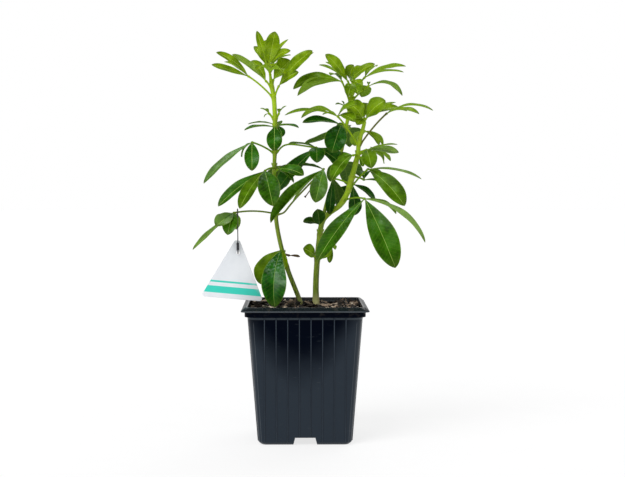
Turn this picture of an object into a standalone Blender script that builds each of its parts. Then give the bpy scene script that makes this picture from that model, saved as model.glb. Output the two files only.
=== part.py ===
"""Potted mexican orange: two leafy stems in a square ribbed nursery pot, with a wired plant tag.

Lengths are in millimetres and become metres when a mesh is made. +X is right, +Y is back, +Z is up, and
the origin is the middle of the pot's underside.
"""

import math

import bpy
import numpy as np

MM = 0.001
GAP = 0.3

# Pot: half widths of its square rings, heights and corner radii
POT_HEIGHT = 110.0
RIM_HALF = 50.3
CREST_HALF = 46.5
THROAT_HALF = 45.4
COLLAR_HALF = 47.5
COLLAR_BOTTOM = 101.8
FLANGE_BOTTOM = 105.3
FLANGE_EDGE = 106.1
FLANGE_TOP = 106.8
BODY_TOP_HALF = 45.2
BODY_BOTTOM_HALF = 36.9
CORNER_RADIUS = 9.0
FOOT_RADIUS = 5.5
FOOT_BEVEL = 2.8
COLLAR_RADIUS = 7.5
RIM_RADIUS = 4.5
WALL = 1.3
FLOOR_TOP = 8.0
FOOT_GAP = 18.0
FOOT_HEIGHT = 6.0
BOSS_RADIUS = 7.0
DRAIN_RADIUS = 4.0
DRAIN_REACH = 19.0
RIB_COUNT = 8
RIB_BOTTOM = 2.6
RIB_PITCH = 9.1
RIB_WIDTH = 1.0
RIB_PROUD = 0.45
RIB_SUNK = 0.9

# Soil
SOIL_LEVEL = 105.2
SOIL_RELIEF = 1.3
SOIL_CELLS = 16
CHIP_COUNT = 150
CHIP_SLOPE = 0.16
SOIL_SEED = 11
HOLE_DEPTH = 12.0
HOLE_ROOM = 0.7

# Stems
STEM_SIDES = 8
STEM_STEP = 9.0
SWELLING = 0.14
SWELLING_LENGTH = 2.2
PLANTED_DEPTH = HOLE_DEPTH - GAP

# Leaves
BLADE = 0.7
FOLD_DEGREES = 16.0
BLADE_BASE = 1.25
BLADE_TIP = 0.75
BLADE_STEP = 12.0
BLADE_LEAST = 0.45
BLADE_FROM = 0.12
BLADE_TO = 0.97
PETIOLE_RADIUS = 0.75
HUB_RADIUS = 1.15
HUB_REACH = 0.9
PETIOLE_SIDES = 5
PETIOLE_STEP = 11.0
STALK_BOW = 0.1
STALK_START = GAP + 0.1
FOOT_FLARE = 1.25
TIP_SHARE = 0.8
TIP_BOW = 0.4
OLD_GREEN = np.array([0.030, 0.105, 0.018])
NEW_GREEN = np.array([0.27, 0.42, 0.03])
OLD_HEIGHT = 225.0
NEW_HEIGHT = 300.0

# Tag and its wire
TAG_CORNERS = [(-56.2, 161), (-83.5, 116.4), (-33.4, 111.9), (-52.2, 161)]
TAG_Y = -16.0
TAG_HOLE = (-53.6, 151.0)
TAG_THICKNESS = 1.0
TAG_CORNER = 2.0
TAG_HOLE_RADIUS = 1.6
WIRE_RADIUS = 0.45
TWIST_RADIUS = 0.62
TWIST_TURNS = 2.0
WIRE_OVER = (-54.1, -12.6, 184.2)
WIRE_HOOK_RADIUS = 1.9
WIRE_ACROSS = (0.43, -0.9, 0.0)
WIRE_SIDES = 5

# Stem axes from the soil up, and the thickness along them as (height, radius)
LEFT_AXIS = [(-3, 10, 108), (-8.2, 7, 121), (-14.6, 5, 138), (-19.9, 3, 157.5), (-23.1, 2, 175),
             (-24.4, 1, 193), (-24.8, 0, 217), (-24.4, 0, 231.5), (-24.1, 0, 252.5), (-24.9, 0, 273.5),
             (-26.9, 0, 286), (-28.6, 0, 298)]
LEFT_RADII = [(95, 2.4), (112, 2.2), (140, 1.9), (215, 1.5), (270, 1.8), (284, 1.7), (291, 1.1), (298, 0.9)]
RIGHT_AXIS = [(9.1, 12, 108), (9.1, 11, 124.5), (10, 9, 142), (11.7, 8, 160), (14.2, 7, 175),
              (20, 3, 182.5), (28.5, -2, 189), (34, -4, 198), (36, -5, 204), (39.4, -6, 217),
              (42.6, -7, 230), (43.1, -7, 236), (44.5, -8, 243.5), (46.5, -8, 250), (48, -8, 256)]
RIGHT_RADII = [(95, 3.0), (108, 2.9), (118, 2.4), (150, 2.2), (200, 2.1), (230, 2.0), (250, 1.7),
               (256, 1.4)]
BRANCH_AXIS = [(13.5, 7.6, 171), (15.5, 11, 181), (18.7, 16, 193), (24.6, 20, 212), (30.4, 20, 233.5),
               (34.8, 18, 256.5), (37.9, 16, 274), (39.5, 15, 286)]
BRANCH_RADII = [(171, 1.2), (185, 1.5), (230, 1.4), (275, 1.5), (286, 1.2)]
STEMS = {
    "left": (LEFT_AXIS, LEFT_RADII),
    "right": (RIGHT_AXIS, RIGHT_RADII),
    "branch": (BRANCH_AXIS, BRANCH_RADII),
}

# Each leaf: name, stem, height on the stem (None at its tip), hub where the leaflets meet, and the
# leaflets, each as the tip's x, y and z, the width, how far the blade arches, and how far its upper side
# turns to the front in degrees. A last list, where there is one, holds points that the stalk passes.
LEAVES = [
    ("left_leaf_0_front", "left", 139, (-19, -6, 153), [
        (-24, -34, 109, 20, 4, 75), (-36, -4, 125, 16, 4, 50), (-30, 18, 120, 11, 3, 0)]),
    ("left_twig_0", "left", 148, (-12, 8, 148), [(-4, 12, 145, 2.2, 2, 0)]),
    ("left_leaf_1_west", "left", 182, (-57, -14, 183), [
        (-89, -26, 154, 7, 1, 15), (-70, -36, 173, 12, 1, 60), (-61, -32, 166, 12, 3, 60),
        (-56, 2, 169, 8, 3, 20)]),
    ("left_leaf_1_east", "left", 181, (15, -14, 218), [
        (-27, -36, 175.5, 12.5, 3, 30), (8, -32, 191.5, 14, 3, 70), (-2.5, -6, 221, 8, 1, -10),
        (-10.5, -22, 190.5, 7, 2, -10)],
        [(-17, -3, 183), (-12, -5, 189), (-5, -8, 197)]),
    ("left_leaf_2_front", "left", 219, (-32, -16, 216.5), [
        (-68.5, -30, 188.5, 10.8, 3, 35), (-51, -44, 187, 11.5, 3.5, 35), (-25, -46, 189, 17.5, 5, 75)]),
    ("left_leaf_2_east", "left", 214, (-22, -9, 217.5), [
        (-1, -20, 213, 11, 3, 45), (-9, -6, 207, 6, 2, 30)]),
    ("left_leaf_2_back", "left", 219, (-21, 14, 220), [
        (-30, 44, 200, 14, 4, -40), (-17, 46, 203, 14, 4, -40), (-10, 34, 212, 12, 4, -20)]),
    ("left_leaf_3_west", "left", 231, (-42.5, -8, 239.5), [
        (-81, -14, 206.5, 9, 3.5, 32), (-42, -24, 216.5, 12, 3, 80), (-51, 4, 228, 6, 2.5, 40)]),
    ("left_leaf_3_east", "left", 231, (9.5, 2, 235.5), [
        (-23, 16, 200, 15.5, 3, 50), (9.5, -14, 223, 13, 3, 70), (32.5, 6, 218.5, 14, 3, 50),
        (-13.5, 28, 239, 7, 2, -10)],
        [(-14, 0, 238)]),
    ("left_leaf_4_front", "left", 251, (-24.5, -5, 252), [
        (-24.5, -16, 232.5, 12.6, 3, 80), (-48.5, -12, 249, 7, 2, 5), (-5, -12, 251, 7, 2, 5)]),
    ("left_leaf_4_back", "left", 252, (-23, 6, 254), [
        (-46.5, 12, 255, 6, 2, 0), (-18.5, 10, 244.5, 7, 2, 50), (-22, 32, 254, 8, 3, 0)]),
    ("left_shoot_4_west", "left", 258, (-29, -1, 263), [
        (-36, -3, 267, 2.4, 1, 20), (-32, 2, 267, 2.6, 1, 20), (-33, 1, 260, 1.5, 1, 0)]),
    ("left_shoot_4_east", "left", 258, (-21, 0, 263), [(-15, -2, 269, 2.2, 1, 20), (-21, 3, 267, 3, 1, 60)]),
    ("left_leaf_5_west", "left", 276, (-45.5, -6, 292.5), [
        (-70.5, -17, 310.5, 10, 3.5, 50), (-75, -4, 303, 8, 3, 20), (-65.5, 10, 305.5, 7, 2, 20)]),
    ("left_leaf_5_east", "left", 276, (-21, -7, 284.5), [
        (6, -12, 312.5, 10.5, 4, 50), (7, 3, 312.5, 7, 3, 25), (-5, -16, 295, 9, 2.5, 55)]),
    ("left_leaf_6_west", "left", 284, (-31.5, -3, 289), [
        (-58.5, -1, 310.5, 9, 2.5, 40), (-43.5, 7, 306, 8, 3, 30), (-42.5, 18, 300.5, 8, 3, 0)]),
    ("left_leaf_6_east", "left", 284, (-25.5, 4, 290.5), [
        (-11.5, 9, 306.5, 14, 2.5, 62), (-11.5, 24, 296, 9, 3, 20)]),
    ("left_leaf_6_front", "left", 288, (-28.5, -10.5, 296), [
        (-37.5, -20, 296, 9.5, 4, -15), (-16.5, -20, 292, 9.5, 4, -15), (-26.5, -32, 297, 10, 4, -5)]),
    ("left_leaf_6_back", "left", 289, (-28, 9, 295), [
        (-37, 34, 303, 9, 4, 0), (-25, 38, 305, 9, 4, 0)]),
    ("left_tip", "left", None, (-30.5, -2, 300.5), [
        (-38.5, -8, 328.5, 8.5, 1, 65), (-41, 4, 317.5, 7, 2, 40), (-31.5, 8, 323, 8, 1.5, 20)]),
    ("left_tip", "left", None, (-27.5, 0, 301.5), [
        (-13.5, 8, 323.5, 4.5, 2.5, 15), (-11.5, -6, 313, 10.5, 4.5, 50), (-11.5, 10, 311, 6, 2, 0)]),
    ("left_tip", "left", None, (-29, -3, 301), [
        (-24, -9, 328, 11.5, 0.5, 85), (-26, 6, 315.5, 6, 1, 0)]),
    ("right_leaf_0_west", "right", 145, (7.5, 3, 147), [
        (-1.5, -5, 154, 11.5, 2, 60), (3, 12, 150, 7, 2, 20)]),
    ("right_leaf_0_east", "right", 147, (22, 4, 155), [
        (20, 0, 142, 5, 3, 40), (12.5, -6, 146, 10, 2, 60), (25, 14, 152, 4, 2, 0)]),
    ("right_leaf_1_west", "right", 165, (12, -2, 173), [
        (-1.5, -6, 175.5, 8, 2, 40), (10, -10, 186, 11, 1, 70)]),
    ("right_leaf_1_front", "right", 193, (47, -30, 194.5), [
        (69.5, -56, 141.5, 21, 5, 70), (9, -62, 147, 15.5, 4, 28), (93.5, -44, 160.5, 10, 8, 15),
        (73, -14, 182, 7, 4, 0)]),
    ("right_leaf_2_east", "right", 202, (50.5, -14, 218), [
        (92.5, -22, 210, 8, 3.5, 12), (78, -38, 189, 16, 4.5, 50), (63, 6, 208.5, 8, 3, 0)]),
    ("right_leaf_2_west", "right", 206, (22.5, -6, 210.5), [
        (20, 0, 181.5, 8, 2, 50), (29, 10, 187, 9, 3, 10)]),
    ("right_leaf_2_back", "right", 208, (39, 12, 206), [
        (28, 24, 186, 15, 4, 40), (41.5, 26, 180, 11.5, 3, 50), (58, 16, 192.5, 9, 2, 35)]),
    ("right_leaf_2_side", "right", 212, (48, 2, 209.5), [
        (71, -4, 199, 8, 4, 15), (50.5, 18, 216, 9, 2, 0)]),
    ("right_leaf_3_west", "right", 229, (38.5, -13, 229), [
        (21, -30, 209, 11, 5, 40), (26.5, -12, 223, 10, 3, 30)]),
    ("right_leaf_3_east", "right", 231, (49.5, -10, 233.5), [
        (75.5, -8, 231.5, 9, 1.5, 42), (73.5, -20, 237.5, 6, 1.5, 10), (52.5, -26, 218.5, 12.5, 3, 70)]),
    ("right_leaf_3_back", "right", 229, (54, 8, 233), [
        (65, 16, 223, 8, 3, 40), (71, 24, 225, 6, 3, 0), (62, 36, 232, 8, 3, 0)]),
    ("right_twig_3", "right", 224, (44.5, -11, 227.5), [
        (46.5, -15, 220, 4.2, 1, 70)]),
    ("right_leaf_4_west", "right", 237, (26, -16, 260), [
        (-16, -22, 260.5, 9, 4.5, 15), (-3, -8, 259, 9, 7, -25), (40.5, -32, 268.5, 11, 2.5, 45),
        (39, -36, 254.5, 10, 3, 40), (14.5, -4, 262, 6, 2, 20)]),
    ("right_leaf_4_east", "right", 237, (65.5, -12, 262.5), [
        (102, -18, 264.5, 7.5, 5.5, 5), (89.5, -32, 261, 8, 4, 25), (83, 8, 265.5, 7, 2, 0)]),
    ("right_leaf_4_back", "right", 242, (49, 6, 249), [
        (61, 10, 238, 7, 2, 40), (64.5, 22, 238, 6, 4, 10), (42, 28, 237.5, 11, 4, 30)]),
    ("right_tip", "right", None, (49, -10, 258.5), [
        (64, -18, 272.5, 15, 3, 55), (75.5, -4, 268, 9, 3, 35), (74, 6, 272.5, 7, 2, 10)]),
    ("right_tip", "right", None, (46, -12, 258), [
        (34.5, -15, 270, 15, 3.5, 55), (37, -22, 259, 9, 2, 55), (41, -22, 253, 8, 2, 70)]),
    ("right_tip", "right", None, (47.5, -6, 259), [
        (42, 20, 271, 11, 4, 0), (56, 22, 271.5, 11, 4, 0), (51, 32, 270, 10, 4, 0)]),
    ("branch_leaf_1_back", "branch", 222, (32, 38, 224), [
        (22, 62, 208, 12, 4, -30), (38, 66, 204, 13, 4, -30), (48, 54, 212, 11, 4, -20)]),
    ("branch_leaf_2_west", "branch", 250, (29.5, 2, 254), [
        (21.5, -12, 231, 18, 4, 70), (-2, -4, 255.5, 9.5, 3, 35), (0, 24, 239.5, 8, -3, -25)]),
    ("branch_leaf_2_back", "branch", 251, (38, 36, 253), [
        (38.5, 58, 237.5, 11, 3, -30), (46.5, 60, 241, 11, 4, -20), (30, 56, 248.5, 12, 4, -20)]),
    ("branch_leaf_3_west", "branch", 272, (30, 2, 289), [
        (-6, -6, 277, 12, 7, -38), (-9.5, 10, 283.5, 12, 8, 45), (21.5, 26, 296, 8, 3, 0)]),
    ("branch_leaf_3_east", "branch", 274, (52, 10, 286), [
        (79, 2, 277.5, 9, 6.5, 20), (47, 26, 278, 11, 2, -60), (52.5, 16, 289.5, 3, 1, 20)]),
    ("branch_leaf_3_front", "branch", 276, (38, -1, 286.5), [
        (34, -20, 275.5, 9, 3, 70), (42.5, -18, 277, 8.5, 3, 45)]),
    ("branch_twig_3", "branch", 267, (32, 12, 270), [(25, 10, 271, 4, 1, 10), (30, 14, 274, 2, 1, 0)]),
    ("branch_leaf_4_west", "branch", 281, (35, 6, 289.5), [
        (16.5, -2, 310.5, 10, 2.5, 60), (11.5, 4, 302.5, 7, 2, 10), (17, 16, 306, 6, 2, 10)]),
    ("branch_leaf_4_east", "branch", 280, (49, 10, 293), [
        (82, 4, 301.5, 8.5, 3, -20), (81, 14, 297.5, 7, 3, 0), (60, 32, 304, 8, 3, 0)]),
    ("branch_tip", "branch", None, (37.5, 11, 291), [
        (39, -13, 301, 10.5, 2, 70), (57, 6, 303.5, 10, 2.5, 50), (34.5, 8, 301, 6, 1.5, 50)]),
    ("branch_tip", "branch", None, (40.5, 14, 291), [
        (47, 18, 302, 9, 2, 40), (32.5, 30, 300.5, 8, 3, 0), (44.5, 2, 282, 9, 3, 60)]),
    ("branch_tip", "branch", None, (40, 17, 292), [
        (37.5, 38, 302.5, 9, 4, 0), (51.5, 38, 304, 9, 4, 0), (45, 46, 298, 9, 4, 0)]),
]


def clear_scene():
    for thing in list(bpy.data.objects):
        bpy.data.objects.remove(thing, do_unlink=True)


def finish(name, colour, roughness, metallic=0.0):
    """A Principled material in one colour."""
    material = bpy.data.materials.get(name) or bpy.data.materials.new(name)
    material.use_nodes = True
    shader = material.node_tree.nodes["Principled BSDF"]
    shader.inputs["Base Color"].default_value = (*colour, 1.0)
    shader.inputs["Roughness"].default_value = roughness
    shader.inputs["Metallic"].default_value = metallic
    return material


def mesh_object(name, shape, material=None, collection=None):
    """An object from (points in millimetres, faces)."""
    points, faces = shape
    mesh = bpy.data.meshes.new(name)
    mesh.from_pydata((np.asarray(points, float) * MM).tolist(), [], faces)
    mesh.update()
    if material:
        mesh.materials.append(material)
    thing = bpy.data.objects.new(name, mesh)
    (collection or bpy.context.scene.collection).objects.link(thing)
    return thing


def boolean(body, operation, tools):
    """Applies one Boolean of the shapes in tools to the object, and removes what it used."""
    helpers = bpy.data.collections.new(body.name + "_tools")
    bpy.context.scene.collection.children.link(helpers)
    for number, shape in enumerate(tools):
        mesh_object(f"{body.name}_tool_{number}", shape, collection=helpers)
    modifier = body.modifiers.new("boolean", "BOOLEAN")
    modifier.operation = operation
    modifier.solver = "EXACT"
    modifier.operand_type = "COLLECTION"
    modifier.collection = helpers
    graph = bpy.context.evaluated_depsgraph_get()
    mesh = bpy.data.meshes.new_from_object(body.evaluated_get(graph))
    body.modifiers.clear()
    body.data = mesh
    for helper in list(helpers.objects):
        bpy.data.objects.remove(helper, do_unlink=True)
    bpy.data.collections.remove(helpers)
    return body


def joined(name, shapes, material):
    body = mesh_object(name, shapes[0], material)
    if len(shapes) > 1:
        boolean(body, "UNION", shapes[1:])
    return body


def smooth(body, degrees=40.0):
    body.data.shade_smooth()
    body.data.set_sharp_from_angle(angle=math.radians(degrees))
    return body


# Shapes as (points, faces)


def loft(rings):
    """Closed shape through rings of equal length, that turn anticlockwise seen from past the last ring."""
    count = len(rings[0])
    points = np.concatenate(rings)
    faces = []
    for ring in range(len(rings) - 1):
        for side in range(count):
            low = ring * count + side
            low_next = ring * count + (side + 1) % count
            faces.append((low, low_next, low_next + count, low + count))
    last = (len(rings) - 1) * count
    faces.append(tuple(range(count - 1, -1, -1)))
    faces.append(tuple(range(last, last + count)))
    return points, faces


def unit(vector):
    vector = np.asarray(vector, float)
    return vector / np.linalg.norm(vector)


def curve(points, step):
    """A smooth curve through the points, a Catmull-Rom spline, sampled about every step."""
    knots = np.asarray(points, float)
    ends = np.vstack([2 * knots[0] - knots[1], knots, 2 * knots[-1] - knots[-2]])
    out = [knots[0]]
    for one, two, three, four in zip(ends, ends[1:], ends[2:], ends[3:]):
        pieces = max(1, round(float(np.linalg.norm(three - two)) / step))
        for t in np.arange(1, pieces + 1) / pieces:
            square = (2 * one - 5 * two + 4 * three - four) * t**2
            cube = (3 * two - one - 3 * three + four) * t**3
            out.append(0.5 * (2 * two + (three - one) * t + square + cube))
    return np.array(out)


def tube(path, radii, sides, first_normal=None):
    """A round bar along the path. first_normal turns the first ring's plane square to it."""
    path = np.asarray(path, float)
    tangents = np.gradient(path, axis=0)
    tangents /= np.linalg.norm(tangents, axis=1)[:, None]
    if first_normal is not None:
        tangents[0] = first_normal
    upright = abs(tangents[0][2]) > 0.9
    side = unit(np.cross(tangents[0], (0.0, 1.0, 0.0) if upright else (0.0, 0.0, 1.0)))
    angles = 2 * math.pi * np.arange(sides) / sides
    rings = []
    for centre, ahead, radius in zip(path, tangents, radii):
        side = unit(side - ahead * (side @ ahead))
        other = np.cross(ahead, side)
        ring = np.cos(angles)[:, None] * side + np.sin(angles)[:, None] * other
        rings.append(centre + radius * ring)
    return loft(rings)


def square_ring(half, z, radius, per_corner=3):
    """A square with rounded corners at height z, anticlockwise from above."""
    radius = min(radius, half)
    points = []
    for corner in range(4):
        start = corner * math.pi / 2
        reach = (half - radius) * math.sqrt(2)
        x = reach * math.cos(start + math.pi / 4)
        y = reach * math.sin(start + math.pi / 4)
        for step in range(per_corner + 1):
            angle = start + step / per_corner * math.pi / 2
            points.append((x + radius * math.cos(angle), y + radius * math.sin(angle), z))
    return np.array(points)


def quarter_turned(shape, turns):
    """The shape turned about Z by quarter turns."""
    points, faces = shape
    angle = turns * math.pi / 2
    cos, sin = math.cos(angle), math.sin(angle)
    return points @ np.array([[cos, sin, 0], [-sin, cos, 0], [0, 0, 1]]), faces


def cylinder(x, y, z0, z1, radius, sides=12):
    return tube([(x, y, z0), (x, y, z1)], [radius, radius], sides)


# Pot and soil


def wall_half(z):
    """Half width of the pot's tapered outside at height z."""
    return BODY_BOTTOM_HALF + (BODY_TOP_HALF - BODY_BOTTOM_HALF) * z / COLLAR_BOTTOM


def rib(offset, turn):
    """One upright bar, offset along the tapered side that faces -Y, then turned by quarter turns."""
    points = []
    for z in (RIB_BOTTOM, COLLAR_BOTTOM + 0.6):
        face = wall_half(z)
        for along, out in ((-1, -RIB_SUNK), (1, -RIB_SUNK), (1, RIB_PROUD), (-1, RIB_PROUD)):
            points.append((offset + along * RIB_WIDTH / 2, -(face + out), z))
    points = np.array(points)
    return quarter_turned(loft([points[:4][::-1], points[4:][::-1]]), turn)


def pot_rings():
    """Up the outside from the underside, over the flange and the crest, and down the inside to the floor."""
    rings = [
        (BODY_BOTTOM_HALF - 3.0, 0.0, FOOT_RADIUS - 2.4),
        (BODY_BOTTOM_HALF - 0.9, 0.8, FOOT_RADIUS - 0.7),
        (wall_half(FOOT_BEVEL), FOOT_BEVEL, FOOT_RADIUS),
        (BODY_TOP_HALF, COLLAR_BOTTOM, CORNER_RADIUS),
        (COLLAR_HALF - 0.5, COLLAR_BOTTOM + 0.2, COLLAR_RADIUS),
        (COLLAR_HALF, COLLAR_BOTTOM + 0.9, COLLAR_RADIUS),
        (COLLAR_HALF, FLANGE_BOTTOM, COLLAR_RADIUS),
        (RIM_HALF - 0.3, FLANGE_BOTTOM, RIM_RADIUS),
        (RIM_HALF, FLANGE_EDGE, RIM_RADIUS),
        (RIM_HALF - 0.5, FLANGE_TOP, RIM_RADIUS),
        (CREST_HALF + 0.4, POT_HEIGHT - 0.3, RIM_RADIUS),
        (CREST_HALF - 0.2, POT_HEIGHT, RIM_RADIUS),
        (THROAT_HALF, POT_HEIGHT - 0.7, RIM_RADIUS - 0.6),
        (THROAT_HALF, COLLAR_BOTTOM + 2.2, RIM_RADIUS + 1.5),
        (BODY_TOP_HALF - WALL, COLLAR_BOTTOM + 0.2, CORNER_RADIUS - 1.0),
        (wall_half(FLOOR_TOP) - WALL, FLOOR_TOP, FOOT_RADIUS - WALL),
    ]
    return [square_ring(*ring) for ring in rings]


def foot_arm(turn):
    """The cutter between two feet, from the middle boss outwards, a little narrower at its top."""
    wide = FOOT_GAP / 2
    reach = BODY_BOTTOM_HALF + 4
    rings = []
    for z, near, far in ((-1.0, wide, wide + 0.8), (FOOT_HEIGHT, wide - 1, wide - 1)):
        plan = [(BOSS_RADIUS, -near), (reach, -far), (reach, far), (BOSS_RADIUS, near)]
        rings.append(np.array([(x, y, z) for x, y in plan]))
    return quarter_turned(loft(rings), turn)


def make_pot():
    plastic = finish("black_pot_plastic", (0.018, 0.021, 0.026), 0.34)
    pot = mesh_object("pot", loft(pot_rings()), plastic)
    first = -(RIB_COUNT - 1) / 2 * RIB_PITCH
    offsets = [first + number * RIB_PITCH for number in range(RIB_COUNT)]
    boolean(pot, "UNION", [rib(offset, turn) for turn in range(4) for offset in offsets])
    boolean(pot, "DIFFERENCE", [foot_arm(turn) for turn in range(4)])
    drain = cylinder(DRAIN_REACH, 0, FOOT_HEIGHT - 1, FLOOR_TOP + 1, DRAIN_RADIUS)
    boolean(pot, "DIFFERENCE", [quarter_turned(drain, turn) for turn in range(4)])
    return smooth(pot, 35)


def soil_height(x, y):
    """Tilted bark chips: each spot takes the height and slope of its nearest chip."""
    rng = np.random.default_rng(SOIL_SEED)
    centres = rng.uniform(-BODY_TOP_HALF, BODY_TOP_HALF, (CHIP_COUNT, 2))
    lift = rng.uniform(-0.5, 0.5, CHIP_COUNT) * SOIL_RELIEF
    slope = rng.uniform(-CHIP_SLOPE, CHIP_SLOPE, (CHIP_COUNT, 2))
    away = np.stack([x[..., None] - centres[:, 0], y[..., None] - centres[:, 1]], -1)
    nearest = (away**2).sum(-1).argmin(-1)
    own = np.take_along_axis(away, nearest[..., None, None], -2)[..., 0, :]
    return SOIL_LEVEL + lift[nearest] + (own * slope[nearest]).sum(-1)


def soil_block():
    """A block with a relief on top, wider than the pot's inside."""
    half = BODY_TOP_HALF + 2
    line = np.linspace(-half, half, SOIL_CELLS + 1)
    x, y = np.meshgrid(line, line, indexing="ij")
    top = np.stack([x, y, soil_height(x, y)], -1).reshape(-1, 3)
    count = SOIL_CELLS + 1
    faces = []
    for i in range(SOIL_CELLS):
        for j in range(SOIL_CELLS):
            corner = i * count + j
            faces.append((corner, corner + count, corner + count + 1))
            faces.append((corner, corner + count + 1, corner + 1))
    border = [i * count for i in range(count)]
    border += [SOIL_CELLS * count + j for j in range(1, count)]
    border += [i * count + SOIL_CELLS for i in range(SOIL_CELLS - 1, -1, -1)]
    border += [j for j in range(SOIL_CELLS - 1, 0, -1)]
    foot = len(top)
    bottom = top[border].copy()
    bottom[:, 2] = FLOOR_TOP - 5
    for k in range(len(border)):
        after = (k + 1) % len(border)
        faces.append((border[after], border[k], foot + k, foot + after))
    faces.append(tuple(foot + k for k in range(len(border) - 1, -1, -1)))
    return np.concatenate([top, bottom]), faces


def make_soil():
    """The block cut to the pot's inside, less the gap, with a plain hole for each stem."""
    lower = wall_half(FLOOR_TOP) - WALL - GAP
    inside = loft([
        square_ring(lower, FLOOR_TOP + GAP, FOOT_RADIUS - WALL),
        square_ring(BODY_TOP_HALF - WALL - GAP - 0.1, COLLAR_BOTTOM, CORNER_RADIUS - 1.0),
        square_ring(THROAT_HALF - GAP, COLLAR_BOTTOM + 2.5, RIM_RADIUS + 1.6),
        square_ring(THROAT_HALF - GAP, POT_HEIGHT, RIM_RADIUS + 1.6),
    ])
    soil = mesh_object("soil", soil_block(), finish("bark_soil", (0.10, 0.055, 0.03), 0.95))
    boolean(soil, "INTERSECT", [inside])
    holes = []
    for stem in ("left", "right"):
        axis, radii = STEMS[stem]
        x, y, _ = axis[0]
        radius = radii[0][1] + HOLE_ROOM
        holes.append(cylinder(x, y, SOIL_LEVEL - HOLE_DEPTH, POT_HEIGHT + 5, radius))
    return boolean(soil, "DIFFERENCE", holes)


# Stems


def swelling(z, heights):
    """How much thicker the stem is at its leaf joints."""
    near = [math.exp(-(((z - height) / SWELLING_LENGTH) ** 2)) for height in heights]
    return 1 + SWELLING * sum(near)


def stem_shape(stem, planted=True):
    """A round stem along its axis, thicker at the joints, going down into the soil where it is planted."""
    axis, radii = STEMS[stem]
    heights = sorted({leaf[2] for leaf in LEAVES if leaf[1] == stem and leaf[2]})
    path = curve(axis, STEM_STEP)
    if planted:
        x, y, _ = axis[0]
        path = np.vstack([(x, y, SOIL_LEVEL - PLANTED_DEPTH), path])
    thick = np.interp(path[:, 2], *zip(*radii))
    thick = [radius * swelling(z, heights) for radius, z in zip(thick, path[:, 2])]
    return tube(path, thick, STEM_SIDES)


def make_stems():
    bark = finish("stem_bark", (0.22, 0.30, 0.05), 0.5)
    smooth(joined("left_stem", [stem_shape("left")], bark))
    smooth(joined("right_stem", [stem_shape("right"), stem_shape("branch", planted=False)], bark))


# Leaves


def blade_width(t):
    """Half width of a leaflet along its length, as a share of the widest, which lies past the middle."""
    widest = BLADE_BASE / (BLADE_BASE + BLADE_TIP)
    return (t / widest) ** BLADE_BASE * ((1 - t) / (1 - widest)) ** BLADE_TIP


def bow_curve(start, middle, end, t):
    """A quadratic Bezier curve at the values t."""
    t = np.asarray(t)[:, None]
    return (1 - t) ** 2 * start + 2 * t * (1 - t) * middle + t**2 * end


def blade(hub, leaflet):
    """A folded blade from the hub to its tip, as a ring of six points at each station."""
    tip = np.array(leaflet[:3], float)
    width, arch, face = leaflet[3:]
    hub = np.array(hub, float)
    chord = tip - hub
    length = np.linalg.norm(chord)
    ahead = chord / length
    turn = math.radians(face)
    upper = np.array([0.0, -math.sin(turn), math.cos(turn)])
    upper = unit(upper - ahead * (upper @ ahead))
    middle = (hub + tip) / 2 + upper * arch * 2
    stations = max(3, round(length / BLADE_STEP) + 1)
    t = np.concatenate([[0.0], np.linspace(BLADE_FROM, BLADE_TO, stations), [1.0]])
    path = bow_curve(hub, middle, tip, t)
    tangent = (1 - t)[:, None] * (middle - hub) + t[:, None] * (tip - middle)
    tangent /= np.linalg.norm(tangent, axis=1)[:, None]
    side = unit(np.cross(ahead, upper))
    normal = np.cross(side, tangent)
    half = np.maximum(blade_width(np.clip(t, 0, 0.999)) * width / 2, BLADE_LEAST)
    edge = half * math.tan(math.radians(FOLD_DEGREES))
    rings = []
    for centre, out, wide, lift in zip(path, normal, half, edge):
        top = [centre + side * wide + out * lift, centre, centre - side * wide + out * lift]
        top = [point + out * BLADE / 2 for point in top]
        low = [point - out * BLADE for point in top[::-1]]
        rings.append(np.array(top + low))
    return split_alike(rings)


def split_alike(rings):
    """Closes the blade's rings with triangles whose diagonals match on the two faces."""
    points = np.concatenate(rings)
    faces = []
    for ring in range(len(rings) - 1):
        a = ring * 6
        b = a + 6
        for k in range(6):
            n = (k + 1) % 6
            if k in (0, 4, 2):
                faces += [(a + k, b + k, a + n), (a + n, b + k, b + n)]
            else:
                faces += [(a + k, b + k, b + n), (a + k, b + n, a + n)]
    last = (len(rings) - 1) * 6
    faces += [(0, 1, 4), (0, 4, 5), (1, 2, 3), (1, 3, 4)]
    faces += [(last, last + 4, last + 1), (last, last + 5, last + 4),
              (last + 1, last + 3, last + 2), (last + 1, last + 4, last + 3)]
    return points, faces


def stem_point(stem, z):
    """Middle, direction and radius of a stem at height z."""
    axis, radii = STEMS[stem]
    path = curve(axis, STEM_STEP)
    levels = np.array([z - 1, z, z + 1])
    x = np.interp(levels, path[:, 2], path[:, 0])
    y = np.interp(levels, path[:, 2], path[:, 1])
    low, middle, high = np.column_stack([x, y, levels])
    return middle, unit(high - low), float(np.interp(z, *zip(*radii)))


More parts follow.
